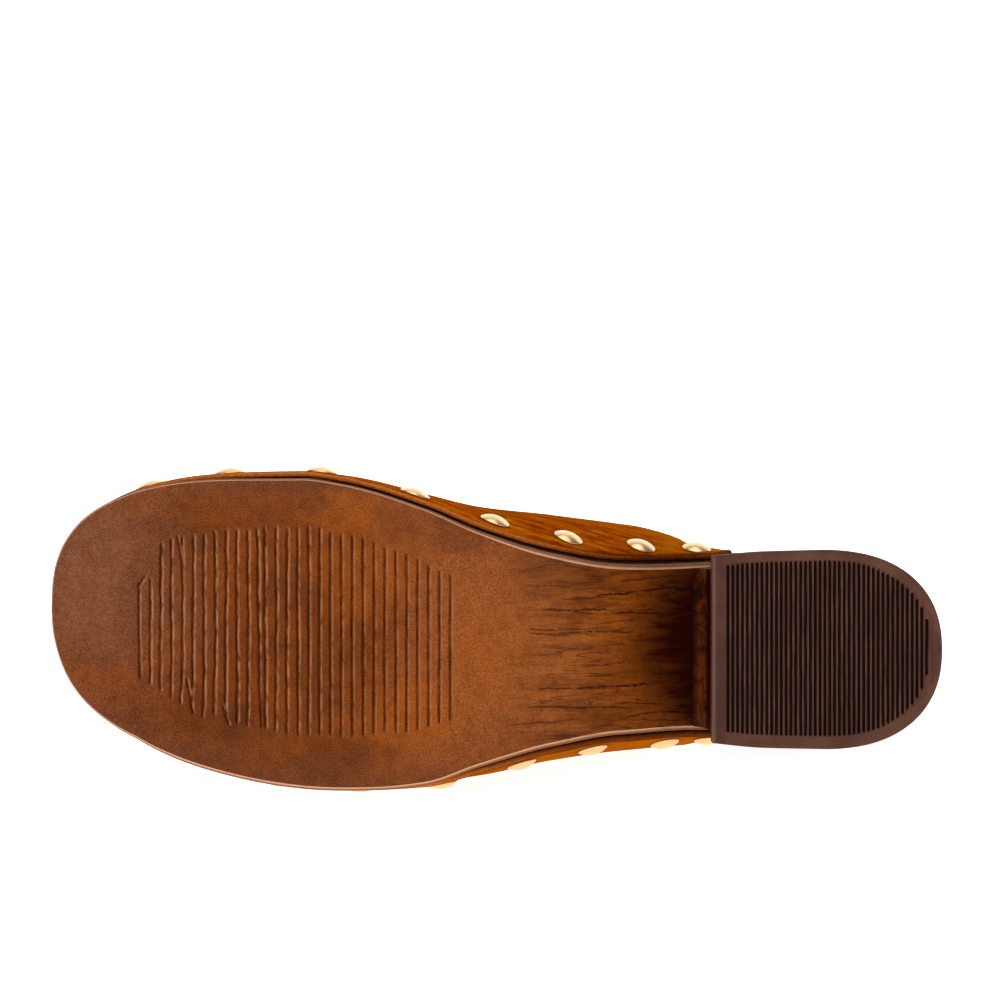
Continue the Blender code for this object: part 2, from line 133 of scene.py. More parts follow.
class Finish:
    """A material and its node tree, painted in coats over a first colour."""

    def __init__(self, name, color):
        self.material = bpy.data.materials.new(name)
        self.material.use_nodes = True
        self.tree = self.material.node_tree
        self.shader = self.tree.nodes["Principled BSDF"]
        self.color = color

    def node(self, kind, settings, inputs, output=0):
        """New node of a kind: its settings are set first, then its sockets, by name or number."""
        made = self.tree.nodes.new(kind)
        for name, value in settings.items():
            setattr(made, name, value)
        for name, value in dict(inputs).items():
            self.plug(made.inputs[name], value)
        return Wire(self, made.outputs[output])

    def plug(self, socket, value):
        """Link a wire to a socket, or set the socket's value."""
        if isinstance(value, Wire):
            self.tree.links.new(value.socket, socket)
        elif socket.type == "RGBA":
            socket.default_value = (*value, 1.0)
        else:
            socket.default_value = value

    def shade(self, **sockets):
        """Give the Principled shader the painted colour, and other sockets, named with underscores."""
        for name, value in {"Base_Color": self.color, **sockets}.items():
            self.plug(self.shader.inputs[name.replace("_", " ")], value)

    def mark(self, name):
        """A number stored on the mesh's points."""
        return self.node("ShaderNodeAttribute", {"attribute_name": name}, {}, "Fac")

    @cached_property
    def spot(self):
        """Place on the standing shoe, in millimetres."""
        return self.node("ShaderNodeAttribute", {"attribute_name": "standing"}, {}, "Vector")

    def axis(self, number):
        """X, Y or Z of the place, as a number."""
        return self.node("ShaderNodeSeparateXYZ", {}, {0: self.spot}, number)

    def stretched(self, scale):
        """The place multiplied by three numbers a millimetre."""
        return self.node("ShaderNodeVectorMath", {"operation": "MULTIPLY"}, {0: self.spot, 1: scale})

    def noise(self, scale, detail=3.0, rough=0.55, turn=0.0):
        """Fractal noise from 0 to 1 on the stretched place."""
        inputs = {"Scale": 1.0, "Detail": detail, "Roughness": rough, "Distortion": turn}
        return self.node("ShaderNodeTexNoise", {}, {"Vector": self.stretched(scale), **inputs}, "Fac")

    def cells(self, scale):
        """Distance to the nearest of scattered points, on the stretched place."""
        inputs = {"Vector": self.stretched(scale), "Scale": 1.0}
        return self.node("ShaderNodeTexVoronoi", {}, inputs, "Distance")

    def mix(self, share, low, high, kind="MIX"):
        """Colour between two colours, or the first one multiplied by the second as share goes to 1."""
        settings = {"data_type": "RGBA", "blend_type": kind}
        return self.node("ShaderNodeMix", settings, {0: share, 6: low, 7: high}, 2)

    def coat(self, share, color):
        """Cover a share of the paint with a colour."""
        self.color = self.mix(share, self.color, color)

    def stain(self, share, color):
        """Multiply a share of the paint by a colour."""
        self.color = self.mix(share, self.color, color, "MULTIPLY")

    def bump(self, *layers):
        """Normal of several heights from 0 to 1, each with the depth in millimetres that it stands for."""
        normal = None
        for height, depth in layers:
            inputs = {"Height": height, "Distance": depth * MM, "Strength": 1.0}
            if normal:
                inputs["Normal"] = normal
            normal = self.node("ShaderNodeBump", {}, inputs)
        return normal


FLOOR_HALF = 6.0
WALL_AWAY = 3.0
TABLE_WHITE = (0.9, 0.9, 0.9)
TABLE_GLOW = 0.9
WALL_GLOW = 1.0
WHITE = (1.0, 1.0, 1.0)
ROOM_STRENGTH = 0.14
LAMP_OFF_FLOOR = 0.55
Softbox = namedtuple("Softbox", "name at aim size watts")
SOFTBOXES = (
    Softbox("key", (-860.0, -80.0, -660.0), (110.0, 0.0, 10.0), 0.45, 3.4),
    Softbox("fill", (230.0, -420.0, -900.0), (130.0, 0.0, 10.0), 0.6, 1.0),
    Softbox("overhead", (150.0, -900.0, -250.0), (130.0, 0.0, 20.0), 0.9, 5.0),
)


def add_stage(name, corners, glow):
    """Flat white sheet with a glow of its own, apart from the object."""
    sheet = bpy.data.meshes.new(name)
    sheet.from_pydata(corners, [], [(0, 1, 2, 3)])
    white = Finish(name, TABLE_WHITE)
    white.shade(Roughness=0.9, Emission_Color=WHITE, Emission_Strength=glow)
    sheet.materials.append(white.material)
    made = bpy.data.objects.new(name, sheet)
    bpy.context.scene.collection.objects.link(made)


SQUARE = ((-1.0, -1.0), (1.0, -1.0), (1.0, 1.0), (-1.0, 1.0))
add_stage("floor", [(FLOOR_HALF * u, FLOOR_HALF * v, 0.0) for u, v in SQUARE], TABLE_GLOW)
add_stage("backdrop", [(FLOOR_HALF * u, WALL_AWAY, FLOOR_HALF * max(v, 0.0)) for u, v in SQUARE], WALL_GLOW)

for box in SOFTBOXES:
    lamp_data = bpy.data.lights.new(box.name, "AREA")
    lamp_data.size = box.size
    lamp_data.energy = box.watts
    lamp = bpy.data.objects.new(box.name, lamp_data)
    stand = Vector(lay(box.at))
    stand.z = max(stand.z, LAMP_OFF_FLOOR * box.size)
    lamp.location = stand
    lamp.rotation_euler = (Vector(lay(box.aim)) - stand).to_track_quat("-Z", "Y").to_euler()
    bpy.context.scene.collection.objects.link(lamp)

room = bpy.data.worlds.new("room")
room.use_nodes = True
room_light = room.node_tree.nodes["Background"]
room_light.inputs["Color"].default_value = (*WHITE, 1.0)
room_light.inputs["Strength"].default_value = ROOM_STRENGTH
bpy.context.scene.world = room


# Outsole.  A sheet of moulded brown sole, glued under the platform from the toe to the heel breast:
# pressed ribs across the ball, a figure like old wood up the waist, and a paler bevelled rim.
SIGN = {"medial": -1.0, "lateral": 1.0}
SOLE_BACK_X = 260.0
TOE_TIP_Y = -10.0
BALL_X = {"medial": 72.0, "lateral": 84.0}
TOE_POWER = {"medial": 2.9, "lateral": 2.1}
HEEL_ROUND_X = 224.0
HEEL_MID_Y = 2.8
HEEL_POWER = 2.3
BREAST_X = 195.0
OUTSOLE_THICKNESS = 4.0

Edge = namedtuple("Edge", "x sole_medial sole_lateral bed_medial bed_lateral")
EDGES = (
    Edge(60.0, -47.2, 39.8, -47.2, 39.8),
    Edge(72.0, -47.2, 41.9, -47.2, 41.9),
    Edge(84.0, -45.5, 42.4, -45.9, 42.4),
    Edge(108.0, -38.2, 41.2, -39.8, 42.2),
    Edge(124.0, -31.5, 37.3, -35.2, 40.8),
    Edge(145.0, -25.0, 32.3, -31.4, 37.4),
    Edge(166.0, -21.3, 30.0, -28.0, 35.6),
    Edge(178.0, -20.9, 30.0, -26.6, 35.2),
    Edge(195.0, -21.4, 30.4, -24.6, 34.4),
    Edge(208.0, -24.3, 31.0, -23.8, 33.0),
    Edge(224.0, -24.9, 31.2, -23.9, 31.0),
)
Trim = namedtuple("Trim", "x medial lateral")
TOE_TRIMS = (
    Trim(0.0, 2.0, 2.0),
    Trim(2.0, 2.0, 2.0),
    Trim(7.0, 1.8, 1.4),
    Trim(13.0, 1.65, 0.3),
    Trim(19.0, 1.4, -0.6),
    Trim(25.0, 1.05, -1.3),
    Trim(45.0, 0.5, -1.2),
    Trim(60.0, 0.4, -0.8),
    Trim(78.0, 0.2, -0.2),
    Trim(96.0, 0.0, 0.0),
)
Profile = namedtuple("Profile", "x tread bed")
PROFILES = (
    Profile(0.0, 8.0, 29.6),
    Profile(12.0, 4.4, 26.6),
    Profile(25.0, 1.4, 23.6),
    Profile(40.0, 0.0, 22.0),
    Profile(70.0, 0.0, 22.0),
    Profile(110.0, 0.0, 24.8),
    Profile(124.0, 2.8, 28.6),
    Profile(145.0, 10.2, 36.6),
    Profile(166.0, 21.8, 46.0),
    Profile(195.0, 38.2, 57.0),
    Profile(224.0, 38.2, 60.5),
    Profile(262.0, 38.2, 61.0),
)


def smooth(table, column, x):
    """Monotone cubic through one column of a table: it never overshoots, and flat rows stay flat."""
    x = np.asarray(x, float)
    xs = np.array([row[0] for row in table])
    ys = np.array([getattr(row, column) for row in table])
    step = np.diff(xs)
    secant = np.diff(ys) / step
    product = secant[:-1] * secant[1:]
    total = secant[:-1] + secant[1:]
    same_way = product > 0.0
    slope = np.concatenate([secant[:1], np.zeros(len(product)), secant[-1:]])
    slope[1:-1][same_way] = 2.0 * product[same_way] / total[same_way]
    at = np.clip(np.searchsorted(xs, x) - 1, 0, len(step) - 1)
    u = np.clip((x - xs[at]) / step[at], 0.0, 1.0)
    rise = u * u * (3.0 - 2.0 * u)
    lean_in = u * (1.0 - u) ** 2 * step[at]
    lean_out = u * u * (u - 1.0) * step[at]
    return ys[at] + (ys[at + 1] - ys[at]) * rise + slope[at] * lean_in + slope[at + 1] * lean_out


def superellipse(t, power):
    """Half width at t, from 1 in the middle (t = 0) to 0 at the end (t = 1)."""
    return (1.0 - np.clip(t, 0.0, 1.0) ** power) ** (1.0 / power)


def ease(low, high, x):
    """0 at low and 1 at high, with a soft start and end."""
    t = np.clip((x - low) / (high - low), 0.0, 1.0)
    return t * t * (3.0 - 2.0 * t)


def edge_y(x, side, level="sole", back=SOLE_BACK_X, inset=0.0, table=EDGES):
    """Y of an outline at X, moved in by inset: a round toe, the table along the waist, a round heel."""
    ball = BALL_X[side]
    held = np.clip(x, ball, HEEL_ROUND_X)
    column = f"{level}_{side}"
    slope = smooth(table, column, held + 0.5) - smooth(table, column, held - 0.5)
    y = smooth(table, column, held) - SIGN[side] * inset * np.hypot(1.0, slope)
    toe = superellipse((ball - x) / (ball - inset), TOE_POWER[side])
    heel = superellipse((x - HEEL_ROUND_X) / (back - inset - HEEL_ROUND_X), HEEL_POWER)
    middle = np.where(x < HEEL_ROUND_X, TOE_TIP_Y, HEEL_MID_Y)
    return middle + (y - middle) * toe * heel + smooth(TOE_TRIMS, side, x)


def tread_z(x):
    """Height of the sole's underside."""
    return smooth(PROFILES, "tread", x)


def bed_z(x):
    """Height of the footbed."""
    return smooth(PROFILES, "bed", x)


def quads(grid):
    """Corner numbers of the faces of a grid of points, whose last column joins its first."""
    rows, columns = grid.shape[:2]
    row = np.arange(rows - 1)[:, None]
    column = np.arange(columns)[None, :]
    after = (column + 1) % columns
    corners = (row * columns + column, row * columns + after,
               (row + 1) * columns + after, (row + 1) * columns + column)
    return np.stack(corners, axis=-1).reshape(-1, 4).tolist()


def across(inner, outer, border, border_steps, field_steps):
    """Y of a sheet's columns between two edges: steps over a border, over the field and over a border."""
    inner, outer, border = (line[:, None] for line in (inner, outer, border))
    return np.concatenate([
        inner + border * border_steps,
        inner + border + (outer - inner - 2.0 * border) * field_steps,
        outer - border * border_steps[::-1],
    ], axis=1)


def walled(under, line, levels):
    """Grid of an underside and its wall: lines up the outer side, then down the inner side."""
    outer = [line("lateral", *level) for level in levels]
    inner = [line("medial", *level) for level in reversed(levels)]
    return np.concatenate([under, *outer, *inner], axis=1)


def blank_marks(grid, *names):
    """Marks that are 0 on every point of a grid."""
    return {name: np.zeros(grid.shape[:2]) for name in names}


MERGE_WITHIN = 0.002
SLIVER = 0.0005


def add_piece(name, points, faces, marks, finish, replaced, sharp=40.0):
    """Piece from points on the standing shoe, with marks on its points, riding on the shoe.

    Doubled points are merged, so that folded ends and poles are closed, and the faces turned out.
    """
    points = np.reshape(points, (-1, 3))
    mesh = bpy.data.meshes.new(name)
    mesh.from_pydata(lay(points).tolist(), [], faces)
    spot = mesh.attributes.new("standing", "FLOAT_VECTOR", "POINT")
    spot.data.foreach_set("vector", np.asarray(points, np.float32).ravel())
    for mark, values in marks.items():
        layer = mesh.attributes.new(mark, "FLOAT", "POINT")
        layer.data.foreach_set("value", np.asarray(values, np.float32).ravel())
    built = bmesh.new()
    built.from_mesh(mesh)
    bmesh.ops.remove_doubles(built, verts=built.verts, dist=MERGE_WITHIN * MM)
    bmesh.ops.dissolve_degenerate(built, edges=built.edges, dist=SLIVER * MM)
    bmesh.ops.recalc_face_normals(built, faces=built.faces)
    built.to_mesh(mesh)
    built.free()
    mesh.shade_smooth()
    mesh.set_sharp_from_angle(angle=math.radians(sharp))
    mesh.materials.append(finish.material)
    piece = bpy.data.objects.new(name, mesh)
    bpy.context.scene.collection.objects.link(piece)
    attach(piece, "root")
    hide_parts(*replaced)


Ribs = namedtuple("Ribs", "first pitch count")
TOE_RIBS = Ribs(25.1, 3.17, 11)
BALL_RIBS = Ribs(61.8, 3.16, 18)
SLANTED_RIB_X = 60.1
SLANT = 0.022
RIB_LINES = np.concatenate([
    TOE_RIBS.first + TOE_RIBS.pitch * np.arange(TOE_RIBS.count),
    [SLANTED_RIB_X],
    BALL_RIBS.first + BALL_RIBS.pitch * np.arange(BALL_RIBS.count),
])
RIB_GROOVE = 1.15
RIB_DEPTH = 0.6
GROOVE_FLAT = 0.25
RIB_BAND = 14.2
BAND_GROWTH = 1.9
BAND_LEAST_X = 70.0
BAND_REACH = 45.0
SHORT_RIBS = 2
SHORT_BY = 9.0
RAGGED_END = 0.4
RAGGED_TURN = {"medial": 7.7, "lateral": 5.1}
END_FADE = 0.6
Wave = namedtuple("Wave", "per_mm turn steady early", defaults=[0.0])
RIB_WAVES = (
    Wave(0.09, 2.1, 0.04, 0.08),
    Wave(0.27, 4.7, 0.015, 0.045),
    Wave(0.71, 1.3, 0.01, 0.05),
    Wave(1.9, 2.9, 0.0, 0.035),
)
GROOVE_SWELL = Wave(0.23, 3.3, 0.2)
EARLY_X = (85.0, 60.0)
LEAN = -0.5
LEAN_X = 40.0
LEAN_HALF = 8.0
LEAN_Y = (6.0, 20.0)
Cut = namedtuple("Cut", "x0 y0 x1 y1")
CUTS = (
    Cut(24.7, -15.1, 26.8, -18.6),
    Cut(36.4, -29.8, 37.9, -21.4),
    Cut(39.1, 11.3, 40.8, 20.9),
    Cut(44.0, 16.5, 43.6, 22.0),
    Cut(49.5, 19.0, 51.2, 24.2),
)
CUT_HALF = 0.55
LIP_ASIDE = 0.62
LIP_HALF = 0.3
LIP_RISE = 0.08


def waver(wave, y, number, early=0.0):
    """Sine of Y with a turn of its own for each numbered line, and a larger swing where early is 1."""
    return (wave.steady + wave.early * early) * np.sin(wave.per_mm * y + wave.turn * number)


def rib_end(x, side, number):
    """Y where a rib ends: a band in from the outline, wider at both ends of the field, and ragged."""
    band = RIB_BAND + BAND_GROWTH * ((x - BAND_LEAST_X) / BAND_REACH) ** 2
    return edge_y(x, side) - SIGN[side] * band + RAGGED_END * np.sin(RAGGED_TURN[side] * number)


def rib_grooves(x, y):
    """Depth of the pressed lines across the ball, and height of the lip behind each, from 0 to 1.

    Each line is its own X plus slow and quick sines of Y.  The lines at the outer toe lean forward,
    one line slants into the next, and a few short cuts lie between them.
    """
    middles = 0.5 * (RIB_LINES[1:] + RIB_LINES[:-1])
    number = np.searchsorted(middles, x)
    early = ease(*EARLY_X, x)
    wander = sum(waver(wave, y, number, early) for wave in RIB_WAVES)
    lean = LEAN * ease(*LEAN_Y, y) * np.exp(-(((x - LEAN_X) / LEAN_HALF) ** 2))
    slant = np.where(number == TOE_RIBS.count, SLANT * y, 0.0)
    line = RIB_LINES[number] + wander + lean + slant
    off = x - line
    half = 0.5 * RIB_GROOVE * (1.0 + waver(GROOVE_SWELL, y, number))
    inner = rib_end(line, "medial", number) + np.where(number < SHORT_RIBS, SHORT_BY, 0.0)
    outer = rib_end(line, "lateral", number)
    ends = ease(inner - END_FADE, inner + END_FADE, y) * ease(outer + END_FADE, outer - END_FADE, y)
    depth = ease(1.0, GROOVE_FLAT, np.abs(off) / half) * ends
    lip = np.exp(-(((off - LIP_ASIDE) / LIP_HALF) ** 2)) * ends
    for cut in CUTS:
        share = np.clip((y - cut.y0) / (cut.y1 - cut.y0), 0.0, 1.0)
        aside = x - cut.x0 - (cut.x1 - cut.x0) * share
        beyond = y - cut.y0 - (cut.y1 - cut.y0) * share
        trough = ease(1.0, GROOVE_FLAT, np.hypot(aside, beyond) / CUT_HALF)
        depth = np.maximum(depth, trough)
        cut_lip = np.exp(-((np.hypot(aside - LIP_ASIDE, beyond) / LIP_HALF) ** 2))
        lip = np.maximum(lip * (1.0 - trough), cut_lip)
    return depth, lip


RIM_FORE = 0.55
RIM_OUTER = 0.55
RIM_OUTER_X = (8.0, 40.0)
RIM_WAIST = {"medial": 1.45, "lateral": 1.3}
RIM_WAIST_X = (105.0, 150.0)
TOE_FLARE = 2.0
OUTER_FLARE = 1.6
OUTER_FLARE_X = (128.0, 96.0)
RIM_LINES = ((0.22, 0.5), (0.04, 1.0), (0.0, 2.0), (0.0, 3.8), (0.3, OUTSOLE_THICKNESS))
BAND_STEPS = np.concatenate([[0.0, 0.012], np.linspace(0.06, 1.0, 12)[:-1]])
BAND_MOST = 0.35
FIELD_COLUMNS = 90
RIB_START_X = 23.5
RIB_STOP_X = 117.0
TOE_ROWS = 45
RIB_ROW_STEP = 0.26
WAIST_ROWS = 80
CREST_FOOT = 0.4
EDGE_FADE = 7.0

# Rows from the toe to the heel breast, close together at the tip and over the ribs.
toe_rows = RIB_START_X * np.linspace(0.0, 1.0, TOE_ROWS, endpoint=False) ** 2
rib_rows = np.arange(RIB_START_X, RIB_STOP_X, RIB_ROW_STEP)
waist_rows = np.linspace(RIB_STOP_X, BREAST_X, WAIST_ROWS)
sole_x = np.concatenate([toe_rows, rib_rows, waist_rows])


def flared_edge(side, inset):
    """X and Y of one long line of the sheet: the outline moved in by inset, standing out at the toe."""
    move = inset - TOE_FLARE
    x = move + sole_x * (1.0 - move / BREAST_X)
    flare = OUTER_FLARE * ease(*OUTER_FLARE_X, x) if side == "lateral" else 0.0
    toe_flare = (TOE_FLARE - flare) * ease(BALL_X[side], 0.0, x)
    return x, edge_y(x, side, inset=inset - flare - toe_flare)


# The underside lies between the inner lines of the rim, which is wider along the outer side and the waist.
under_x, inner_edge = flared_edge("medial", RIM_FORE)
under_x, outer_edge = flared_edge("lateral", RIM_FORE)
at_waist = ease(*RIM_WAIST_X, under_x)
inner_edge = inner_edge + (RIM_WAIST["medial"] - RIM_FORE) * at_waist
outer_edge = outer_edge - RIM_OUTER * ease(*RIM_OUTER_X, under_x)
outer_edge = outer_edge - (RIM_WAIST["lateral"] - RIM_FORE - RIM_OUTER) * at_waist
band_width = np.minimum(RIB_BAND - RIM_FORE, BAND_MOST * (outer_edge - inner_edge))
under_y = across(inner_edge, outer_edge, band_width, BAND_STEPS, np.linspace(0.0, 1.0, FIELD_COLUMNS))
under_x = np.broadcast_to(under_x[:, None], under_y.shape)
groove, lip = rib_grooves(under_x, under_y)
under = np.stack([under_x, under_y, tread_z(under_x) + RIB_DEPTH * groove - LIP_RISE * lip], axis=-1)


def rim_line(side, inset, rise):
    """One line of the sole's rim: the outline moved in by inset, at a rise over the tread."""
    x, y = flared_edge(side, inset)
    return np.stack([x, y, tread_z(x) + rise], axis=-1)[:, None]


sole_grid = walled(under, rim_line, RIM_LINES)
sole_rows, sole_columns, _ = sole_grid.shape
under_columns = under_y.shape[1]
breast_end = range((sole_rows - 1) * sole_columns, sole_rows * sole_columns)
sole_faces = quads(sole_grid) + [list(breast_end)]

# Marks for the finish: the grooves, their lit lips, nearness to the edge, and the rim with its crest.
sole_marks = blank_marks(sole_grid, "groove", "lit", "edge", "crest", "rim")
sole_marks["groove"][:, :under_columns] = groove
sole_marks["lit"][:, :under_columns] = lip
sole_marks["rim"][:, 0] = 1.0
sole_marks["rim"][:, under_columns - 1:] = 1.0
sole_marks["crest"][:, [0, under_columns - 1]] = 1.0
sole_marks["crest"][:, [under_columns, -1]] = CREST_FOOT
to_edge = np.minimum(under_y - inner_edge[:, None], outer_edge[:, None] - under_y)
sole_marks["edge"][:, :under_columns] = np.exp(-to_edge / EDGE_FADE)

Crack = namedtuple("Crack", "x0 y0 x1 y1 half depth")
CRACKS = (
    Crack(157.9, -12.0, 172.5, -13.2, 0.75, 1.0),
    Crack(172.0, -13.2, 186.0, -13.9, 0.7, 0.9),
    Crack(140.8, -8.3, 164.0, -7.5, 0.6, 0.9),
    Crack(163.0, -6.7, 180.0, -6.2, 0.7, 0.9),
    Crack(137.0, -2.8, 156.0, -2.0, 0.42, 0.7),
    Crack(137.0, -1.5, 156.0, -1.1, 0.45, 0.8),
    Crack(154.0, -1.7, 171.0, -0.8, 0.55, 0.9),
    Crack(154.5, 8.9, 168.5, 8.0, 0.55, 0.7),
    Crack(140.5, 14.8, 152.0, 15.2, 0.55, 0.8),
    Crack(150.0, 15.3, 177.0, 15.2, 0.7, 1.0),
    Crack(137.0, 19.9, 170.0, 22.0, 0.5, 0.85),
    Crack(164.5, 20.1, 180.0, 21.6, 0.5, 0.8),
    Crack(167.5, 24.8, 178.4, 23.6, 0.55, 0.9),
    Crack(177.5, 23.5, 189.0, 24.6, 0.6, 1.0),
    Crack(131.0, 25.1, 155.0, 24.4, 0.45, 0.6),
    Crack(156.5, 27.7, 163.5, 26.6, 0.4, 0.6),
    Crack(162.5, 26.6, 170.5, 28.3, 0.4, 0.6),
    Crack(138.0, -20.4, 148.1, -21.7, 0.4, 0.55),
    Crack(147.5, -21.7, 155.0, -20.4, 0.4, 0.55),
    Crack(165.0, -16.1, 184.5, -17.6, 0.5, 0.8),
    Crack(140.0, 28.6, 154.0, 29.5, 0.35, 0.5),
    Crack(169.0, 25.6, 189.0, 26.9, 0.4, 0.7),
    Crack(136.0, -15.6, 153.0, -14.9, 0.4, 0.4),
)
Patch = namedtuple("Patch", "x y half_x half_y share")
GREYED_PATCHES = (
    Patch(45.0, 22.0, 12.0, 8.0, 0.5),
    Patch(40.0, -32.0, 15.0, 8.0, 0.35),
    Patch(27.0, -10.0, 8.0, 13.0, 0.35),
    Patch(66.0, -3.0, 16.0, 12.0, 0.25),
    Patch(104.0, -34.0, 9.0, 5.0, 0.3),
    Patch(78.0, 10.0, 9.0, 9.0, 0.25),
    Patch(72.0, -46.0, 18.0, 4.0, 0.3),
    Patch(168.0, 9.0, 16.0, 7.0, 0.25),
    Patch(146.0, -19.0, 14.0, 5.0, 0.35),
    Patch(119.0, -30.5, 10.0, 6.0, 0.65),
)
RUBBED = (
    Patch(86.0, -37.0, 12.0, 7.0, 0.5),
    Patch(92.0, -19.0, 13.0, 14.0, 0.4),
    Patch(104.0, 22.0, 18.0, 11.0, 0.55),
    Patch(128.0, 4.0, 14.0, 16.0, 0.3),
)
SOLE_TAN = (0.275, 0.064, 0.005)
SOLE_DEEP = (0.18, 0.043, 0.006)
TOE_DUST_AND_SHEEN = (0.255, 0.093, 0.043)
PATCH_GREY = (0.45, 0.46, 0.55)
RUBBED_ORANGE = (0.46, 0.115, 0.008)
BALL_GLOW = (0.375, 0.105, 0.024)
WAIST_AMBER = (0.405, 0.115, 0.022)
WAIST_BROWN = (0.22, 0.056, 0.009)
BREAST_WARM = (1.0, 0.86, 0.32)
WAIST_SHADE_RED = (0.026, 0.0008, 0.0003)
WAIST_BLACK = (0.012, 0.0015, 0.001)
EDGE_BURNISH_AND_SHADE = (0.45, 0.45, 0.55)
GROOVE_DARK = (0.025, 0.005, 0.0015)
GROOVE_LIT = (0.44, 0.18, 0.08)
RIM_PALE_AND_LIT = (0.73, 0.405, 0.245)
RIM_SHADE = (0.24, 0.09, 0.035)
RIM_SPECK = (0.6, 0.5, 0.42)
SPECK_BROWN = (0.46, 0.41, 0.36)
CLOUD_BROWN = (0.66, 0.6, 0.56)
DUST_AND_SHEEN_X = (60.0, 8.0)
DUST_AND_SHEEN_Y = (14.0, -8.0)
GLOW_X = (84.0, 124.0)
WAIST_X = (122.0, 156.0)
WARM_X = (146.0, 172.0)
RED_X = (163.0, 183.5)
DIMMER_LIP_X = (66.0, 92.0)
SCRATCHED_FROM_X = (28.0, 44.0)
SCRATCHED_TO_X = (88.0, 66.0)
SHADED_Y = (6.0, 24.0)
CLOUD_WANDER = 34.0
RED_WANDER = 38.0
RED_MIDDLE_Y = 4.0
RED_BOW = 0.2
RED_FROM_RIM = 9.0
CRACK_SWAY = 1.6
CRACK_KINK = 0.7
PATCH_WANDER = 14.0
PATCH_SWAY_X = 8.0
PATCH_SWAY_Y = 14.0

sole = Finish("sole_sheet", SOLE_DEEP)
x_wire = sole.axis(0)
y_wire = sole.axis(1)
rim_side = sole.mark("edge")
mottle = sole.noise((0.05, 0.07, 0.07), 5.0, 0.6)
speck = sole.noise((2.3, 2.3, 2.3), 3.0, 0.7)
cloud = sole.noise((0.3, 0.24, 0.3), 4.0, 0.68)
figure = sole.noise((0.022, 0.36, 0.1), 4.0, 0.6, 0.4)
cloudy_x = x_wire + (mottle - 0.5) * CLOUD_WANDER
waist = cloudy_x.ease(*WAIST_X)
toward_breast = x_wire + (figure - 0.5) * RED_WANDER - abs(y_wire - RED_MIDDLE_Y) * RED_BOW
toward_breast = toward_breast - rim_side * RED_FROM_RIM

# Dark lines along the figure: the open cracks of the table, finer veins, and pores.
sway = sole.noise((0.12, 0.2, 0.1), 2.0) - 0.5
kink = sole.noise((0.7, 0.5, 0.1), 2.0) - 0.5
crack_y = y_wire + sway * CRACK_SWAY + kink * CRACK_KINK
contour = abs(sole.noise((0.013, 0.34, 0.05), 3.0, 0.5, 0.25) - 0.5)
veins = contour.ease(0.022, 0.0) * sole.noise((0.08, 0.4, 0.1), 2.0).ease(0.45, 0.62) * waist
pores = sole.noise((0.04, 3.0, 0.4), 2.0).ease(0.58, 0.72) * waist
cracks = None
for crack in CRACKS:
    along = (x_wire - crack.x0) * (1.0 / (crack.x1 - crack.x0))
    aside = abs(crack_y - crack.y0 - along * (crack.y1 - crack.y0))
    ends = along.ease(-0.02, 0.15) * along.ease(1.02, 0.85)
    line = aside.ease(0.75 * crack.half, 0.08 * crack.half) * ends * crack.depth
    cracks = cracks.most(line) if cracks else line
cracks = cracks * (sole.noise((0.9, 0.4, 0.3), 2.0).ease(0.34, 0.52) * 0.5 + 0.5)
cracks = cracks.most(veins * 0.75).most(pores * 0.38)


def patches(table):
    """Mask of soft oval patches with wandering edges."""
    mask = None
    patch_x = x_wire + (mottle - 0.5) * PATCH_WANDER + sway * PATCH_SWAY_X
    patch_y = y_wire + sway * PATCH_SWAY_Y
    for patch in table:
        along = (patch_x - patch.x) * (1.0 / patch.half_x)
        aside = (patch_y - patch.y) * (1.0 / patch.half_y)
        oval = (along * along + aside * aside).ease(1.8, 0.0) * patch.share
        mask = mask.most(oval) if mask else oval
    return mask


# Coats from the ground up: dust with a painted sheen, wear and greyer patches, then painted shade toward
# the breast, the lines, the ribs with dirt, painted shade and painted highlights, and the rim with a
# painted highlight.
sole.coat(mottle.ease(0.3, 0.7), SOLE_TAN)
# Dust with a painted sheen: a greyer tan over the toe and along the edges.
dust_and_sheen = cloudy_x.ease(*DUST_AND_SHEEN_X) * (y_wire.ease(*DUST_AND_SHEEN_Y) * 0.6 + 0.25)
sole.coat(dust_and_sheen.most(rim_side * 0.55), TOE_DUST_AND_SHEEN)
sole.coat(cloudy_x.ease(*GLOW_X), BALL_GLOW)
sole.coat(patches(RUBBED), RUBBED_ORANGE)
sole.coat(waist, sole.mix(figure.ease(0.33, 0.66), WAIST_BROWN, WAIST_AMBER))
# Greyer, darker patches.
sole.stain(patches(GREYED_PATCHES), PATCH_GREY)
sole.stain(x_wire.ease(*WARM_X), BREAST_WARM)
sole.stain(speck.ease(0.66, 0.34) * (1.0 - waist * 0.45), SPECK_BROWN)
sole.stain(cloud.ease(0.6, 0.36) * 0.5, CLOUD_BROWN)
# Burnish with painted shade darkens the edges, more up the waist and along the outer side.
shaded_side = waist.most(y_wire.ease(*SHADED_Y) * 0.5)
sole.stain(rim_side * (shaded_side * 0.5 + 0.1), EDGE_BURNISH_AND_SHADE)
# Painted shade: the waist darkens to near black toward the heel breast, later near the rim.
sole.coat(toward_breast.ease(*RED_X) * 0.97, WAIST_SHADE_RED)
sole.coat(cracks * 0.92, WAIST_BLACK)
# Dirt and painted shade darken the grooves unevenly.
groove_dirt_and_shade = sole.noise((0.25, 0.16, 0.3), 3.0).ease(0.3, 0.62) * 0.4 + 0.32
sole.coat(sole.mark("groove").ease(0.2, 0.9) * groove_dirt_and_shade, GROOVE_DARK)
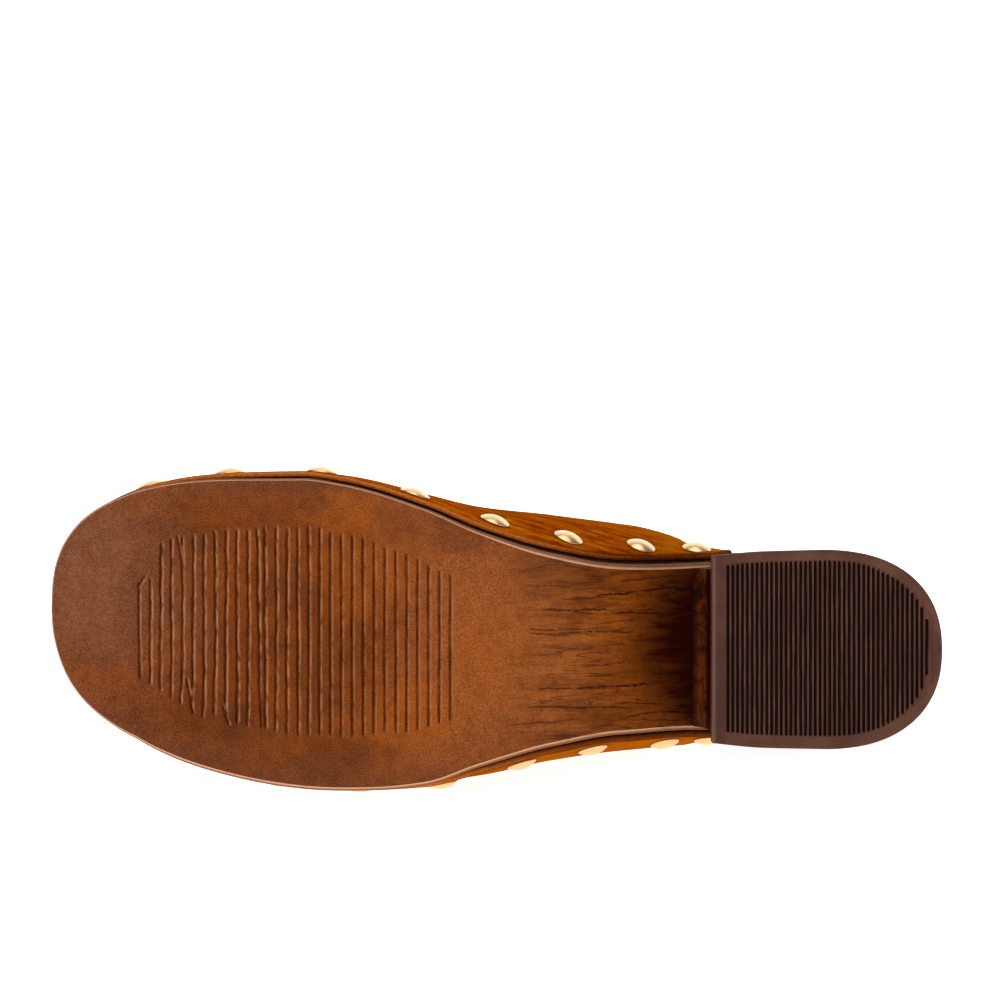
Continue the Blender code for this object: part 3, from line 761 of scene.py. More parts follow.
# Painted highlight on the lip behind each groove, patchy and weaker toward the waist.
lit_lip_share = sole.noise((0.6, 0.25, 0.3), 3.0).ease(0.3, 0.6) * (1.0 - x_wire.ease(*DIMMER_LIP_X) * 0.45)
sole.coat(sole.mark("lit") * lit_lip_share * 0.85, GROOVE_LIT)
scratched = sole.noise((1.5, 0.03, 0.3), 3.0, 0.6).ease(0.58, 0.74) * rim_side.ease(0.16, 0.09)
sole.coat(scratched * x_wire.ease(*SCRATCHED_FROM_X) * x_wire.ease(*SCRATCHED_TO_X) * 0.5, GROOVE_DARK)
# The rim is paler, with a painted highlight along its crest and painted shade down its outer wall.
rim_color = sole.mix(sole.mark("crest").ease(0.5, 1.0), RIM_SHADE, RIM_PALE_AND_LIT)
rim_color = sole.mix(speck.ease(0.6, 0.35) * 0.5, rim_color, RIM_SPECK, "MULTIPLY")
sole.coat(sole.mark("rim").ease(0.25, 0.75), rim_color)
sole.shade(Roughness=speck * 0.3 + 0.42, Specular_IOR_Level=0.05,
           Normal=sole.bump((speck, 0.065), (figure * waist, 0.2), (cracks * -1.0, 0.3)))
add_piece("outsole_sheet", sole_grid, sole_faces, sole_marks, sole, ["outsole"])


# Heel top piece.  A D of hard dark rubber under the heel, moulded with a plain border and fine
# straight ribs from side to side, and nailed and glued to the block.
HEEL_FRONT_X = 191.7
HEEL_BACK_X = 258.3
TOP_PIECE_THICKNESS = 6.0
HeelEdge = namedtuple("HeelEdge", "x heel_medial heel_lateral")
HEEL_EDGES = (
    HeelEdge(191.7, -24.4, 30.0),
    HeelEdge(206.0, -25.6, 31.3),
    HeelEdge(224.0, -26.1, 31.7),
)
TOP_RIBS = Ribs(196.1, 1.405, 42)
TOP_RIB_WAVE = Wave(0.4, 1.9, 0.03)
TOP_GROOVE = 0.95
TOP_GROOVE_FLAT = 0.62
TOP_GROOVE_DEPTH = 0.8
TOP_GROOVE_SHORT = {"medial": 0.2, "lateral": 0.6}
TOP_END_FADE = 0.2
TOP_BORDER = 3.2
TOP_BORDER_MOST = 0.3
TOP_BORDER_STEPS = np.array([0.0, 0.3, 0.7])
TOP_FIELD_STEPS = np.concatenate([[0.0, 0.012], np.linspace(0.03, 0.97, 44), [0.988, 1.0]])
TOP_BEVEL = 0.45
BEVEL_OVER = 0.02
TOP_LINES = ((0.12, 0.2), (0.0, TOP_BEVEL + 0.05), (0.0, 3.0), (0.0, 5.7), (0.3, TOP_PIECE_THICKNESS))
FRONT_STEPS = np.array([0.0, 0.15, 0.3, TOP_BEVEL, 1.2, 2.4, 3.4])
RIBS_AHEAD = 0.6
RIBS_BEHIND = 0.9
TOP_ROW_STEP = 0.14
TAIL_ROWS = 22
TAIL_POWER = 1.8
RIBBED_FROM = (2.6, 4.2)
WEAR_AND_HIGHLIGHT_FRONT = (0.9, 0.2)


def heel_edge(x, side, inset):
    """Y of the heel's outline, moved in by inset."""
    return edge_y(x, side, "heel", HEEL_BACK_X, inset, HEEL_EDGES)


def top_grooves(x, y):
    """Depth, from 0 to 1, of the heel's straight grooves, which stop at the border."""
    number = np.clip(np.round((x - TOP_RIBS.first) / TOP_RIBS.pitch), 0, TOP_RIBS.count - 1)
    line = TOP_RIBS.first + TOP_RIBS.pitch * number + waver(TOP_RIB_WAVE, y, number)
    depth = ease(1.0, TOP_GROOVE_FLAT, np.abs(x - line) / (0.5 * TOP_GROOVE))
    for side, short in TOP_GROOVE_SHORT.items():
        stop = heel_edge(line, side, TOP_BORDER + short)
        fade = SIGN[side] * TOP_END_FADE
        depth = depth * ease(stop + fade, stop - fade, y)
    return depth


# Rows over the front bevel, even rows over the ribs, and rows that close up at the round back.
ribs_stop_x = HEEL_BACK_X - TOP_BORDER - RIBS_BEHIND
ribbed_rows = np.arange(TOP_RIBS.first - RIBS_AHEAD, ribs_stop_x, TOP_ROW_STEP)
tail = HEEL_BACK_X - ribbed_rows[-1]
tail_rows = HEEL_BACK_X - tail * np.linspace(1.0, 0.0, TAIL_ROWS)[1:] ** TAIL_POWER
top_x = np.concatenate([HEEL_FRONT_X + FRONT_STEPS, ribbed_rows, tail_rows])


def top_rows(inset):
    """X of the rows of a line that is moved in by inset at the back."""
    return HEEL_FRONT_X + (top_x - HEEL_FRONT_X) * (1.0 - inset / (HEEL_BACK_X - HEEL_FRONT_X))


bottom_x = top_rows(TOP_BEVEL)
inner_edge = heel_edge(bottom_x, "medial", TOP_BEVEL)
outer_edge = heel_edge(bottom_x, "lateral", TOP_BEVEL)
border = np.minimum(TOP_BORDER, TOP_BORDER_MOST * (outer_edge - inner_edge))
bottom_y = across(inner_edge, outer_edge, border, TOP_BORDER_STEPS, TOP_FIELD_STEPS)
bottom_x = np.broadcast_to(bottom_x[:, None], bottom_y.shape)
top_groove = top_grooves(bottom_x, bottom_y)


def front_bevel(x):
    """Height of the bevel along the top piece's front edge."""
    return np.clip(TOP_BEVEL - (x - HEEL_FRONT_X), 0.0, TOP_BEVEL)


bottom_z = front_bevel(bottom_x) + TOP_GROOVE_DEPTH * top_groove
bottom = np.stack([bottom_x, bottom_y, bottom_z], axis=-1)


def top_line(side, inset, z):
    """One line of the top piece's wall: the outline moved in by inset, at a height."""
    x = top_rows(inset)
    over_bevel = np.maximum(z, front_bevel(x) + BEVEL_OVER)
    return np.stack([x, heel_edge(x, side, inset), over_bevel], axis=-1)[:, None]


top_grid = walled(bottom, top_line, TOP_LINES)
top_faces = quads(top_grid) + [list(range(top_grid.shape[1]))]
bottom_columns = bottom_y.shape[1]
from_front = bottom_x - HEEL_FRONT_X
border_columns = len(TOP_BORDER_STEPS) + 1
ribbed = slice(border_columns, bottom_columns - border_columns)
top_marks = blank_marks(top_grid, "groove", "wear_and_highlight", "ribs")
top_marks["groove"][:, :bottom_columns] = top_groove
top_marks["ribs"][:, ribbed] = ease(*RIBBED_FROM, from_front)[:, ribbed]
top_marks["wear_and_highlight"][:, :bottom_columns] = ease(*WEAR_AND_HIGHLIGHT_FRONT, from_front)

RUBBER = (0.115, 0.048, 0.031)
RUBBER_DARK = (0.084, 0.034, 0.022)
RUBBER_RED = (0.050, 0.013, 0.009)
RUBBER_GROOVE_SHADE = (0.007, 0.002, 0.0015)
RUBBER_WEAR_AND_HIGHLIGHT = (0.22, 0.12, 0.09)
RUBBER_SPECK = (0.7, 0.65, 0.62)
FRONT_SHADE = (0.76, 0.77, 0.8)
FRONT_SHADE_X = (197.0, 193.5)

rubber = Finish("heel_rubber", RUBBER_DARK)
speck = rubber.noise((1.8, 1.8, 1.8), 4.0, 0.7)
cloud = rubber.noise((0.08, 0.08, 0.08), 4.0)
streak = rubber.noise((0.7, 0.045, 0.3), 3.0, 0.6)
rubber.coat(cloud.ease(0.35, 0.65), RUBBER)
rubber.coat(streak.ease(0.62, 0.38) * rubber.mark("ribs") * 0.45, RUBBER_RED)
rubber.stain(speck.ease(0.6, 0.35) * 0.5, RUBBER_SPECK)
# Painted shade in the grooves.
rubber.coat(rubber.mark("groove").ease(0.1, 0.6), RUBBER_GROOVE_SHADE)
# Painted shade toward the front edge.
rubber.stain(rubber.axis(0).ease(*FRONT_SHADE_X), FRONT_SHADE)
# Wear with a painted highlight paling the front edge.
rubber.coat(rubber.mark("wear_and_highlight") * 0.5, RUBBER_WEAR_AND_HIGHLIGHT)
rubber.shade(Roughness=speck * 0.25 + 0.5, Specular_IOR_Level=0.08, Normal=rubber.bump((speck, 0.04)))
add_piece("heel_ribbed_piece", top_grid, top_faces, top_marks, rubber,
          ["heel_top_piece"], 35.0)


# Heel block.  A block of turned wood, stained dark and waxed, screwed up into the platform.  Its
# breast runs up in a hollow and fairs out in a thin lip under the end of the sole sheet.
GAP = 0.3
BLOCK_LOW_Z = TOP_PIECE_THICKNESS + GAP
BLOCK_HIGH_Z = 42.2
BLOCK_INSET = 0.2
BLOCK_STATIONS = 70
LIP_STATIONS = 6
Breast = namedtuple("Breast", "z x")
BREAST = (
    Breast(6.3, 192.0),
    Breast(14.0, 192.7),
    Breast(22.0, 193.3),
    Breast(27.0, 193.1),
    Breast(30.0, 192.5),
    Breast(32.0, 191.8),
    Breast(33.5, 191.0),
    Breast(34.6, 190.0),
    Breast(35.1, 189.3),
)
BREAST_LIP = BREAST[-1]
LIP_LOW_Z = 7.0
LIP_STEP = 0.05
LIP_JOIN = 0.02
LIP_BESIDE_RIM = 0.1
SHEET_CLEARANCE = 0.25
SHEET_END_Z = 37.6
SLOPE_START_X = 150.0
SLOPE_SAMPLES = 200


def breast_x(z):
    """X of the block's front: the hollow breast up to its lip, then back under the sole sheet."""
    slope_x = np.linspace(SLOPE_START_X, BREAST_X, SLOPE_SAMPLES)
    under_sheet = np.interp(z + SHEET_CLEARANCE, tread_z(slope_x), slope_x)
    above = np.where(z > SHEET_END_Z, BREAST_X + GAP, under_sheet)
    return np.where(z <= BREAST_LIP.z, smooth(BREAST, "x", z), np.maximum(above, BREAST_LIP.x))


def stacked(half, levels):
    """Points and faces of a solid through levels, each of two halves that run from front to back."""
    loops = np.array([np.concatenate([half("medial", *level), half("lateral", *level)[::-1]])
                      for level in levels])
    count, size, _ = loops.shape
    near = np.arange(size // 2 - 1)
    far = size - 1 - near
    floor_faces = np.stack([near, far, far - 1, near + 1], axis=1)
    roof_faces = (count - 1) * size + floor_faces[:, ::-1]
    return loops, quads(loops) + floor_faces.tolist() + roof_faces.tolist()


def block_half(side, z):
    """Half of the block's outline at a height, between the rubber's outline and the sole's.

    Its breast stands forward as a tongue that stays within the rim of the sole sheet.
    """
    share = (z - BLOCK_LOW_Z) / (BLOCK_HIGH_Z - BLOCK_LOW_Z)
    front = breast_x(np.array(z))
    back = HEEL_BACK_X + (SOLE_BACK_X - HEEL_BACK_X) * share - BLOCK_INSET
    split = max(BREAST_X, front + LIP_STEP)
    turn = np.sin(np.linspace(0.0, 0.5 * math.pi, BLOCK_STATIONS - LIP_STATIONS))
    lip_x = np.linspace(front, split - LIP_JOIN, LIP_STATIONS)
    x = np.concatenate([lip_x, split + (back - split) * turn])
    low_y = heel_edge(np.minimum(x, HEEL_BACK_X - BLOCK_INSET), side, BLOCK_INSET)
    high_y = edge_y(x, side, inset=BLOCK_INSET)
    y = low_y + (high_y - low_y) * share
    inside_rim = edge_y(x, side, inset=RIM_WAIST[side] + LIP_BESIDE_RIM)
    beside_rim = SIGN[side] * np.minimum(SIGN[side] * y, SIGN[side] * inside_rim)
    on_tongue = (np.arange(BLOCK_STATIONS) < LIP_STATIONS) & (z > LIP_LOW_Z)
    y = np.where(on_tongue, beside_rim, y)
    y[-1] = HEEL_MID_Y
    return np.stack([x, y, np.full_like(x, z)], axis=1)


block_z = np.concatenate([
    np.linspace(BLOCK_LOW_Z, 26.0, 12),
    np.linspace(27.0, BREAST_LIP.z, 16),
    np.linspace(BREAST_LIP.z + 0.1, SHEET_END_Z, 8),
    [SHEET_END_Z + 0.1, 39.0, 40.5, BLOCK_HIGH_Z],
])
block_loops, block_faces = stacked(block_half, block_z[:, None])

BLOCK_BROWN = (0.14, 0.03, 0.004)
BLOCK_DARK = (0.022, 0.004, 0.001)
BREAST_INK_AND_SHADE = (0.25, 0.07, 0.05)
DARKENED_BELOW_Z = (30.5, 28.0)
DARKENED_LIP_Z = (33.4, 34.9)
DARKENED_LIP = 0.85
WOOD_PORE = (0.35, 0.28, 0.25)
WOOD_WAX = 0.2


def stained_wood(name, light, dark, breast_darkening=None):
    """Waxed wood: long figure from stretched noise, fine pores along it, and slow patches of stain.

    With a breast darkening, the mark "breast" is darkened by it, with ink and painted shade, and has no
    wax.
    """
    wood = Finish(name, dark)
    figure = wood.noise((0.02, 0.3, 0.38), 5.0, 0.6, 0.7)
    pores = wood.noise((0.12, 2.2, 2.2), 2.0)
    patch = wood.noise((0.02, 0.03, 0.03), 3.0)
    wood.coat((figure * 0.75 + patch * 0.25).ease(0.36, 0.64), light)
    wood.stain(pores.ease(0.62, 0.72) * 0.6, WOOD_PORE)
    wax = WOOD_WAX
    if breast_darkening:
        breast = wood.mark("breast")
        wood.stain(breast, breast_darkening)
        wax = wax - breast * wax
    wood.shade(Roughness=pores * 0.3 + 0.36, Specular_IOR_Level=0.03,
               Coat_Weight=wax, Coat_Roughness=0.35,
               Normal=wood.bump((figure, 0.12), (pores, 0.1)))
    return wood


# The breast is darkened with ink and painted shade, apart from a paler band under its lip.
block_marks = blank_marks(block_loops, "breast")
breast_shade = ease(*DARKENED_BELOW_Z, block_z) + DARKENED_LIP * ease(*DARKENED_LIP_Z, block_z)
block_marks["breast"][:, np.arange(-LIP_STATIONS, LIP_STATIONS)] = breast_shade[:, None]
block_wood = stained_wood("heel_wood", BLOCK_BROWN, BLOCK_DARK, BREAST_INK_AND_SHADE)
add_piece("heel_wood", block_loops, block_faces, block_marks, block_wood, ["heel_block"], 50.0)


# Platform.  The wooden body of the clog, cut with a flare up the waist and rounded at its edges, stained
# like the heel but darker: a dark stain with painted shade, for the gap under the upper.
BED_BACK_X = 261.5
OUTLINE_SAMPLES = 4000
PLATFORM_STATIONS = 150
PLATFORM_ROUND = 1.0
PLATFORM_ROUND_SHARE = 0.055
PLATFORM_ROUND_LEVELS = 5
PLATFORM_FOOT = ((0.0, 0.5), (0.012, 0.15), (0.03, 0.0))
PLATFORM_PLAIN = np.linspace(0.1, 0.9, 7)


class HalfOutline:
    """One side of an outline from front to back, with its length, its points and outward normals."""

    def __init__(self, side, level, back):
        turn = np.linspace(0.0, math.pi, OUTLINE_SAMPLES)
        self.x = 0.5 * back * (1.0 - np.cos(turn))
        self.y = edge_y(self.x, side, level, back)
        steps = np.hypot(np.diff(self.x), np.diff(self.y))
        self.length = np.concatenate([[0.0], np.cumsum(steps)])
        along_x = np.gradient(self.x, self.length)
        along_y = np.gradient(self.y, self.length)
        size = np.hypot(along_x, along_y)
        self.normal_x = -SIGN[side] * along_y / size
        self.normal_y = SIGN[side] * along_x / size

    def length_to(self, x):
        """Length of the outline from its front to X."""
        return np.interp(x, self.x, self.length)

    def x_at(self, length):
        """X after a length of outline."""
        return np.interp(length, self.length, self.x)

    def points(self, x, grow):
        """X and Y of the outline at X, moved outward by grow."""
        length = self.length_to(x)
        out_x = x + grow * np.interp(length, self.length, self.normal_x)
        return out_x, np.interp(x, self.x, self.y) + grow * np.interp(length, self.length, self.normal_y)


SOLE = {side: HalfOutline(side, "sole", SOLE_BACK_X) for side in SIGN}
BED = {side: HalfOutline(side, "bed", BED_BACK_X) for side in SIGN}


def platform_low_z(x):
    """Height of the platform's underside, on top of the sole sheet and the heel."""
    return tread_z(x) + OUTSOLE_THICKNESS + GAP


def platform_half(side, share, inset):
    """Half of a level of the platform, a share of the way from its underside to the footbed."""
    outline = BED[side]
    bed_x = outline.x_at(np.linspace(0.0, outline.length[-1], PLATFORM_STATIONS))
    low_x = bed_x * SOLE_BACK_X / BED_BACK_X
    high = np.stack([*outline.points(bed_x, -inset), bed_z(bed_x)], axis=1)
    low = np.stack([*SOLE[side].points(low_x, -inset), platform_low_z(low_x)], axis=1)
    return low + (high - low) * share


# Levels: a softened foot, plain sides, and a quarter round up to the footbed.
round_turn = np.linspace(0.0, 0.5 * math.pi, PLATFORM_ROUND_LEVELS)
round_inset = PLATFORM_ROUND * (1.0 - np.cos(round_turn))
round_share = 1.0 + PLATFORM_ROUND_SHARE * (np.sin(round_turn) - 1.0)
plain_levels = [(share, 0.0) for share in PLATFORM_PLAIN]
platform_levels = [*PLATFORM_FOOT, *plain_levels, *zip(round_share, round_inset)]
platform_loops, platform_faces = stacked(platform_half, platform_levels)
PLATFORM_SHADED_BROWN = (0.06, 0.02, 0.007)
PLATFORM_SHADED_DARK = (0.018, 0.006, 0.002)
platform_wood = stained_wood("platform_wood", PLATFORM_SHADED_BROWN, PLATFORM_SHADED_DARK)
add_piece("platform_wood", platform_loops, platform_faces, {}, platform_wood,
          ["platform"], 50.0)


# Insole.  A sock of thin tan leather with rounded edges, cut a little smaller than the footbed and
# glued over it from the toe to the heel.
INSOLE_THICKNESS = 1.5
INSOLE_INSET = 1.2
INSOLE_STATIONS = 120
INSOLE_LEVELS = ((0.3, 0.0), (0.0, 0.3), (0.0, 1.0), (0.15, 1.3), (0.6, INSOLE_THICKNESS))
INSOLE_TAN = (0.44, 0.25, 0.12)
INSOLE_BROWN = (0.32, 0.165, 0.07)
INSOLE_PORE = (0.6, 0.52, 0.45)


def insole_half(side, inset, rise):
    """Half of a level of the sock, in from the footbed's edge and a rise above the glue."""
    outline = BED[side]
    x = outline.x_at(np.linspace(0.0, outline.length[-1], INSOLE_STATIONS))
    return np.stack([*outline.points(x, -INSOLE_INSET - inset), bed_z(x) + GAP + rise], axis=1)


insole_loops, insole_faces = stacked(insole_half, INSOLE_LEVELS)
sock = Finish("insole_leather", INSOLE_BROWN)
pores = sock.cells((1.4, 1.4, 1.4))
crease = sock.noise((0.5, 0.5, 0.5), 4.0)
sock.coat(sock.noise((0.03, 0.04, 0.04), 4.0).ease(0.3, 0.7), INSOLE_TAN)
sock.stain(pores.ease(0.5, 0.15) * 0.35, INSOLE_PORE)
sock.shade(Roughness=crease * 0.25 + 0.45, Specular_IOR_Level=0.35,
           Normal=sock.bump((pores, 0.06), (crease, 0.12)))
add_piece("insole_sock", insole_loops, insole_faces, {}, sock, ["insole"], 50.0)


# Upper.  One piece of waxed pull-up leather, lasted over the toe and instep and nailed to the side of
# the platform, with a raw cut lower edge and a tan lining.  The mule is open behind its collar.
UPPER_WALL = 1.8
UPPER_CLEARANCE = 0.4
UPPER_LOWER_EDGE = 1.5
RAGGED_EDGE = ((0.16, 1.1, 0.0), (0.1, 2.3, 1.0), (0.08, 4.1, 0.0))
LOW_SHADE_REACH = (3.0, 0.4)
VAMP_RISE = 0.62
VAMP_LEAN = {"medial": 1.0, "lateral": 0.3}
VAMP_CROWN = 0.58
RIDGE_LEAD = 20.0
RIDGE_LEAD_FADE = 26.0
UPPER_STATIONS = 170
SIDE_RISES = np.concatenate([[-1.0, -0.985, -0.96], np.linspace(-0.9, 0.0, 10)[:-1]])
VAMP_RISES = np.linspace(0.0, 1.0, 42)
BEND_START = (0.02, 0.2)
BEND_STOP = (0.5, 0.25)
POLISHED = (0.3, 0.75)
NEVER_ZERO = 1e-12
Ridge = namedtuple("Ridge", "x y z")
RIDGES = (
    Ridge(20.0, -10.0, 49.0),
    Ridge(40.0, -10.5, 56.0),
    Ridge(70.0, -9.0, 64.5),
    Ridge(100.0, -5.5, 76.0),
    Ridge(130.0, -2.0, 90.0),
    Ridge(150.0, 0.0, 99.0),
    Ridge(205.0, 1.0, 118.0),
)
Collar = namedtuple("Collar", "rise x")
COLLAR = (
    Collar(-1.0, 203.0),
    Collar(-0.5, 199.0),
    Collar(0.0, 188.0),
    Collar(0.12, 175.0),
    Collar(0.28, 163.0),
    Collar(0.5, 154.5),
    Collar(0.75, 146.0),
    Collar(1.0, 143.0),
)


def wall_ends(side, x):
    """Top and bottom of the upper's inner face along the platform's side, at X."""
    low_x = x * SOLE_BACK_X / BED_BACK_X
    top = np.stack([*BED[side].points(x, UPPER_CLEARANCE), bed_z(x)], axis=-1)
    bottom = np.stack([*SOLE[side].points(low_x, UPPER_CLEARANCE), platform_low_z(x)], axis=-1)
    return top, bottom


def wall_point(side, x, height):
    """Point of the upper's inner face at a height above the platform's underside, on its side."""
    top, bottom = wall_ends(side, x)
    share = height / (top[..., 2] - bottom[..., 2])
    return bottom + (top - bottom) * share[..., None]


def unit(vectors):
    """Vectors scaled to length 1."""
    return vectors / np.linalg.norm(vectors, axis=-1, keepdims=True)


def vamp_point(side, x, middle_x, rise):
    """Point of the upper's inner face over the foot.

    A cubic curve leaves the footbed's edge along the platform's side, and comes in level on the top
    line, whose point leads the edge at the toe so that the toe box closes in a fan.
    """
    base, bottom = wall_ends(side, x)
    ridge_x = middle_x + RIDGE_LEAD * np.exp(-middle_x / RIDGE_LEAD_FADE)
    ridge = np.stack([ridge_x, smooth(RIDGES, "y", ridge_x), smooth(RIDGES, "z", ridge_x)], axis=-1)
    outward = base - ridge
    outward[..., 2] = 0.0
    reach = np.linalg.norm(outward, axis=-1, keepdims=True)
    outward = outward / reach
    outward[..., 2] = (smooth(RIDGES, "z", ridge_x + 1.0) - ridge[..., 2]) * outward[..., 0]
    climb = (ridge[..., 2] - base[..., 2])[..., None]
    along = (base - bottom) * np.array([VAMP_LEAN[side], VAMP_LEAN[side], 1.0])
    start = base + unit(along) * climb * VAMP_RISE
    end = ridge + outward * reach * VAMP_CROWN
    q = rise[..., None]
    fall = 1.0 - q
    return base * fall ** 3 + 3.0 * start * fall ** 2 * q + 3.0 * end * fall * q ** 2 + ridge * q ** 3


# A rise is -1 at the lower edge, 0 at the footbed and 1 on the top line.  At each rise the stations
# are spread evenly along the outline, from the toe to the collar.
rises = np.concatenate([SIDE_RISES, VAMP_RISES])
share = np.linspace(0.0, 1.0, UPPER_STATIONS)
station_x = {}
for side, outline in BED.items():
    reach_length = outline.length_to(smooth(COLLAR, "x", rises))
    station_x[side] = outline.x_at(share[:, None] * reach_length[None, :])
middle_x = 0.5 * (station_x["medial"] + station_x["lateral"])
halves = {}
lows = {}
for side, x in station_x.items():
    wall_top, wall_bottom = wall_ends(side, x)
    side_height = wall_top[..., 2] - wall_bottom[..., 2]
    run = BED[side].length_to(x)
    ragged = sum(most * np.sin(per_mm * run + turn) for most, per_mm, turn in RAGGED_EDGE)
    nailed = side_height - UPPER_LOWER_EDGE
    down = np.minimum(rises, 0.0)
    low = wall_point(side, x, side_height + down * (nailed + ragged))
    lows[side] = ease(*LOW_SHADE_REACH, (1.0 + down) * nailed)
    high = vamp_point(side, x, middle_x, np.broadcast_to(np.maximum(rises, 0.0), x.shape))
    halves[side] = np.where((rises < 0.0)[None, :, None], low, high)


def joined(medial, lateral):
    """Columns from the inner lower edge over the top line, which both sides share, to the outer one."""
    return np.concatenate([medial, lateral[:, -2::-1]], axis=1)


inner_face = joined(**halves)
inner_normal = unit(np.cross(np.gradient(inner_face, axis=1), np.gradient(inner_face, axis=0)) + NEVER_ZERO)
inner_normal[0] = unit(inner_normal[0] + inner_normal[0][::-1] + NEVER_ZERO)
inner_normal = inner_normal * np.sign(np.mean(inner_normal[..., 2]))

Stud = namedtuple("Stud", "medial lateral rise")
STUDS = (
    Stud(26.6, 39.6, 10.5),
    Stud(50.0, 64.6, 10.5),
    Stud(77.0, 88.7, 10.5),
    Stud(104.4, 112.8, 10.5),
    Stud(128.2, 136.3, 10.5),
    Stud(150.5, 158.3, 10.5),
    Stud(173.6, 181.5, 9.8),
    Stud(192.0, 195.8, 8.0),
)
TOE_STUDS = 3
TOE_STUD_RISE = 10.5
STUD_PRESS = 0.3
STUD_PRESS_REACH = 6.0
STUD_SHADE_REACH = 5.3
Crease = namedtuple("Crease", "x bow depth")
CREASES = (
    Crease(96.0, 9.0, 0.5),
    Crease(108.0, 7.0, 0.7),
    Crease(119.0, 8.0, 0.45),
)
CREASE_HALF = 2.6
CREASED_RISES = (0.25, 0.6)


def stud_seat(side, x, rise):
    """Point on the upper's outer face under a stud, and the direction square to the wall there."""
    nudge = 0.5
    along = BED[side].x_at(BED[side].length_to(x) + np.array([0.0, nudge]))
    here, ahead = wall_point(side, along, np.full(2, rise))
    above = wall_point(side, along[:1], np.full(1, rise + nudge))[0]
    normal = unit(np.cross(ahead - here, above - here)) * -SIGN[side]
    return here + normal * UPPER_WALL, normal


seats = {}
for side in SIGN:
    for number, stud in enumerate(STUDS, start=1):
        seats[f"stud_{side}_{number}"] = stud_seat(side, getattr(stud, side), stud.rise)
first = {side: BED[side].length_to(getattr(STUDS[0], side)) for side in SIGN}
toe_lengths = np.linspace(-first["medial"], first["lateral"], TOE_STUDS + 2)[1:-1]
for number, length in enumerate(toe_lengths, start=1):
    side = "medial" if length < 0.0 else "lateral"
    seats[f"stud_toe_{number}"] = stud_seat(side, BED[side].x_at(abs(length)), TOE_STUD_RISE)

# The outer face stands a wall's thickness off the inner one, sunk at the studs and at the walking creases.
outer_face = inner_face + inner_normal * UPPER_WALL
to_stud = np.min([np.linalg.norm(outer_face - seat, axis=-1) for seat, _ in seats.values()], axis=0)
both_rises = joined(rises[None, :], rises[None, :])
both_middle_x = joined(middle_x, middle_x)
sunk = STUD_PRESS * np.exp(-((to_stud / STUD_PRESS_REACH) ** 2))
for crease in CREASES:
    off = both_middle_x - crease.x - crease.bow * (1.0 - both_rises) ** 2
    sunk = sunk + crease.depth * np.exp(-((off / CREASE_HALF) ** 2)) * ease(*CREASED_RISES, both_rises)
outer_face = outer_face - inner_normal * sunk[..., None]

EDGE_ROUND = np.array([0.0, 0.0, -0.28])
EDGE_PARTS = (0.3, 0.7)
COLLAR_PINCH = 0.55
COLLAR_ROUND = 0.45
TUCKED_COLUMNS = 3
TUCKED_START = 0.2


def edge_between(start, stop):
    """Two lines that round the cut edge between the last lines of the outer and inner faces."""
    return np.stack([start + (stop - start) * part + EDGE_ROUND for part in EDGE_PARTS], axis=1)


# The shell goes round: outer face, cut edge, inner face, cut edge.  One more row rounds off the collar.
face_columns = outer_face.shape[1]
shell = np.concatenate([
    outer_face,
    edge_between(outer_face[:, -1], inner_face[:, -1]),
    inner_face[:, ::-1],
    edge_between(inner_face[:, 0], outer_face[:, 0]),
], axis=1)
middle_line = 0.5 * (outer_face[-1] + inner_face[-1])
collar_middle = np.concatenate([middle_line, middle_line[[-1, -1]], middle_line[::-1], middle_line[[0, 0]]])
collar_pinch = collar_middle + COLLAR_PINCH * (shell[-1] - collar_middle)
collar_round = collar_pinch + COLLAR_ROUND * unit(shell[-1] - shell[-2])
shell = np.concatenate([shell, collar_round[None]], axis=0)
shell_rows, shell_columns, _ = shell.shape
shell_faces = quads(shell)
collar_ring = (shell_rows - 1) * shell_columns + np.arange(shell_columns)
outer_run = np.concatenate([collar_ring[-1:], collar_ring[:face_columns + 1]])
inner_run = collar_ring[face_columns + 1:-1][::-1]
shell_faces += np.stack([outer_run[:-1], outer_run[1:], inner_run[1:], inner_run[:-1]], axis=1).tolist()

# Marks for the finish: the cut edge and the part tucked under it, the lining, the dents, the low edge,
# the polished vamp and the bend over the footbed.  The tucked part, the dents and the low edge carry
# painted shade.
shell_marks = blank_marks(shell, "cut", "tucked", "inside", "pressed", "low", "polish", "bend")
edge_lines = len(EDGE_PARTS)
tuck_start = face_columns + edge_lines
inside = slice(tuck_start + TUCKED_COLUMNS, -edge_lines - TUCKED_COLUMNS)
shell_marks["cut"][:, face_columns:inside.start] = 1.0
shell_marks["cut"][:, inside.stop:] = 1.0
shell_marks["cut"][-1] = 1.0
shell_marks["tucked"][:-1, tuck_start:inside.start] = 1.0
shell_marks["tucked"][:-1, inside.stop:-edge_lines] = 1.0
shell_marks["tucked"][:-1, [tuck_start - 1, -edge_lines]] = TUCKED_START
shell_marks["inside"][:, inside] = 1.0
shell_marks["bend"][:, :face_columns] = ease(*BEND_START, both_rises) * ease(*BEND_STOP, both_rises)
shell_marks["pressed"][:-1, :face_columns] = np.exp(-((to_stud / STUD_SHADE_REACH) ** 4))
shell_marks["polish"][:, :face_columns] = ease(*POLISHED, both_rises)
shell_marks["low"][:-1, :face_columns] = joined(**lows)

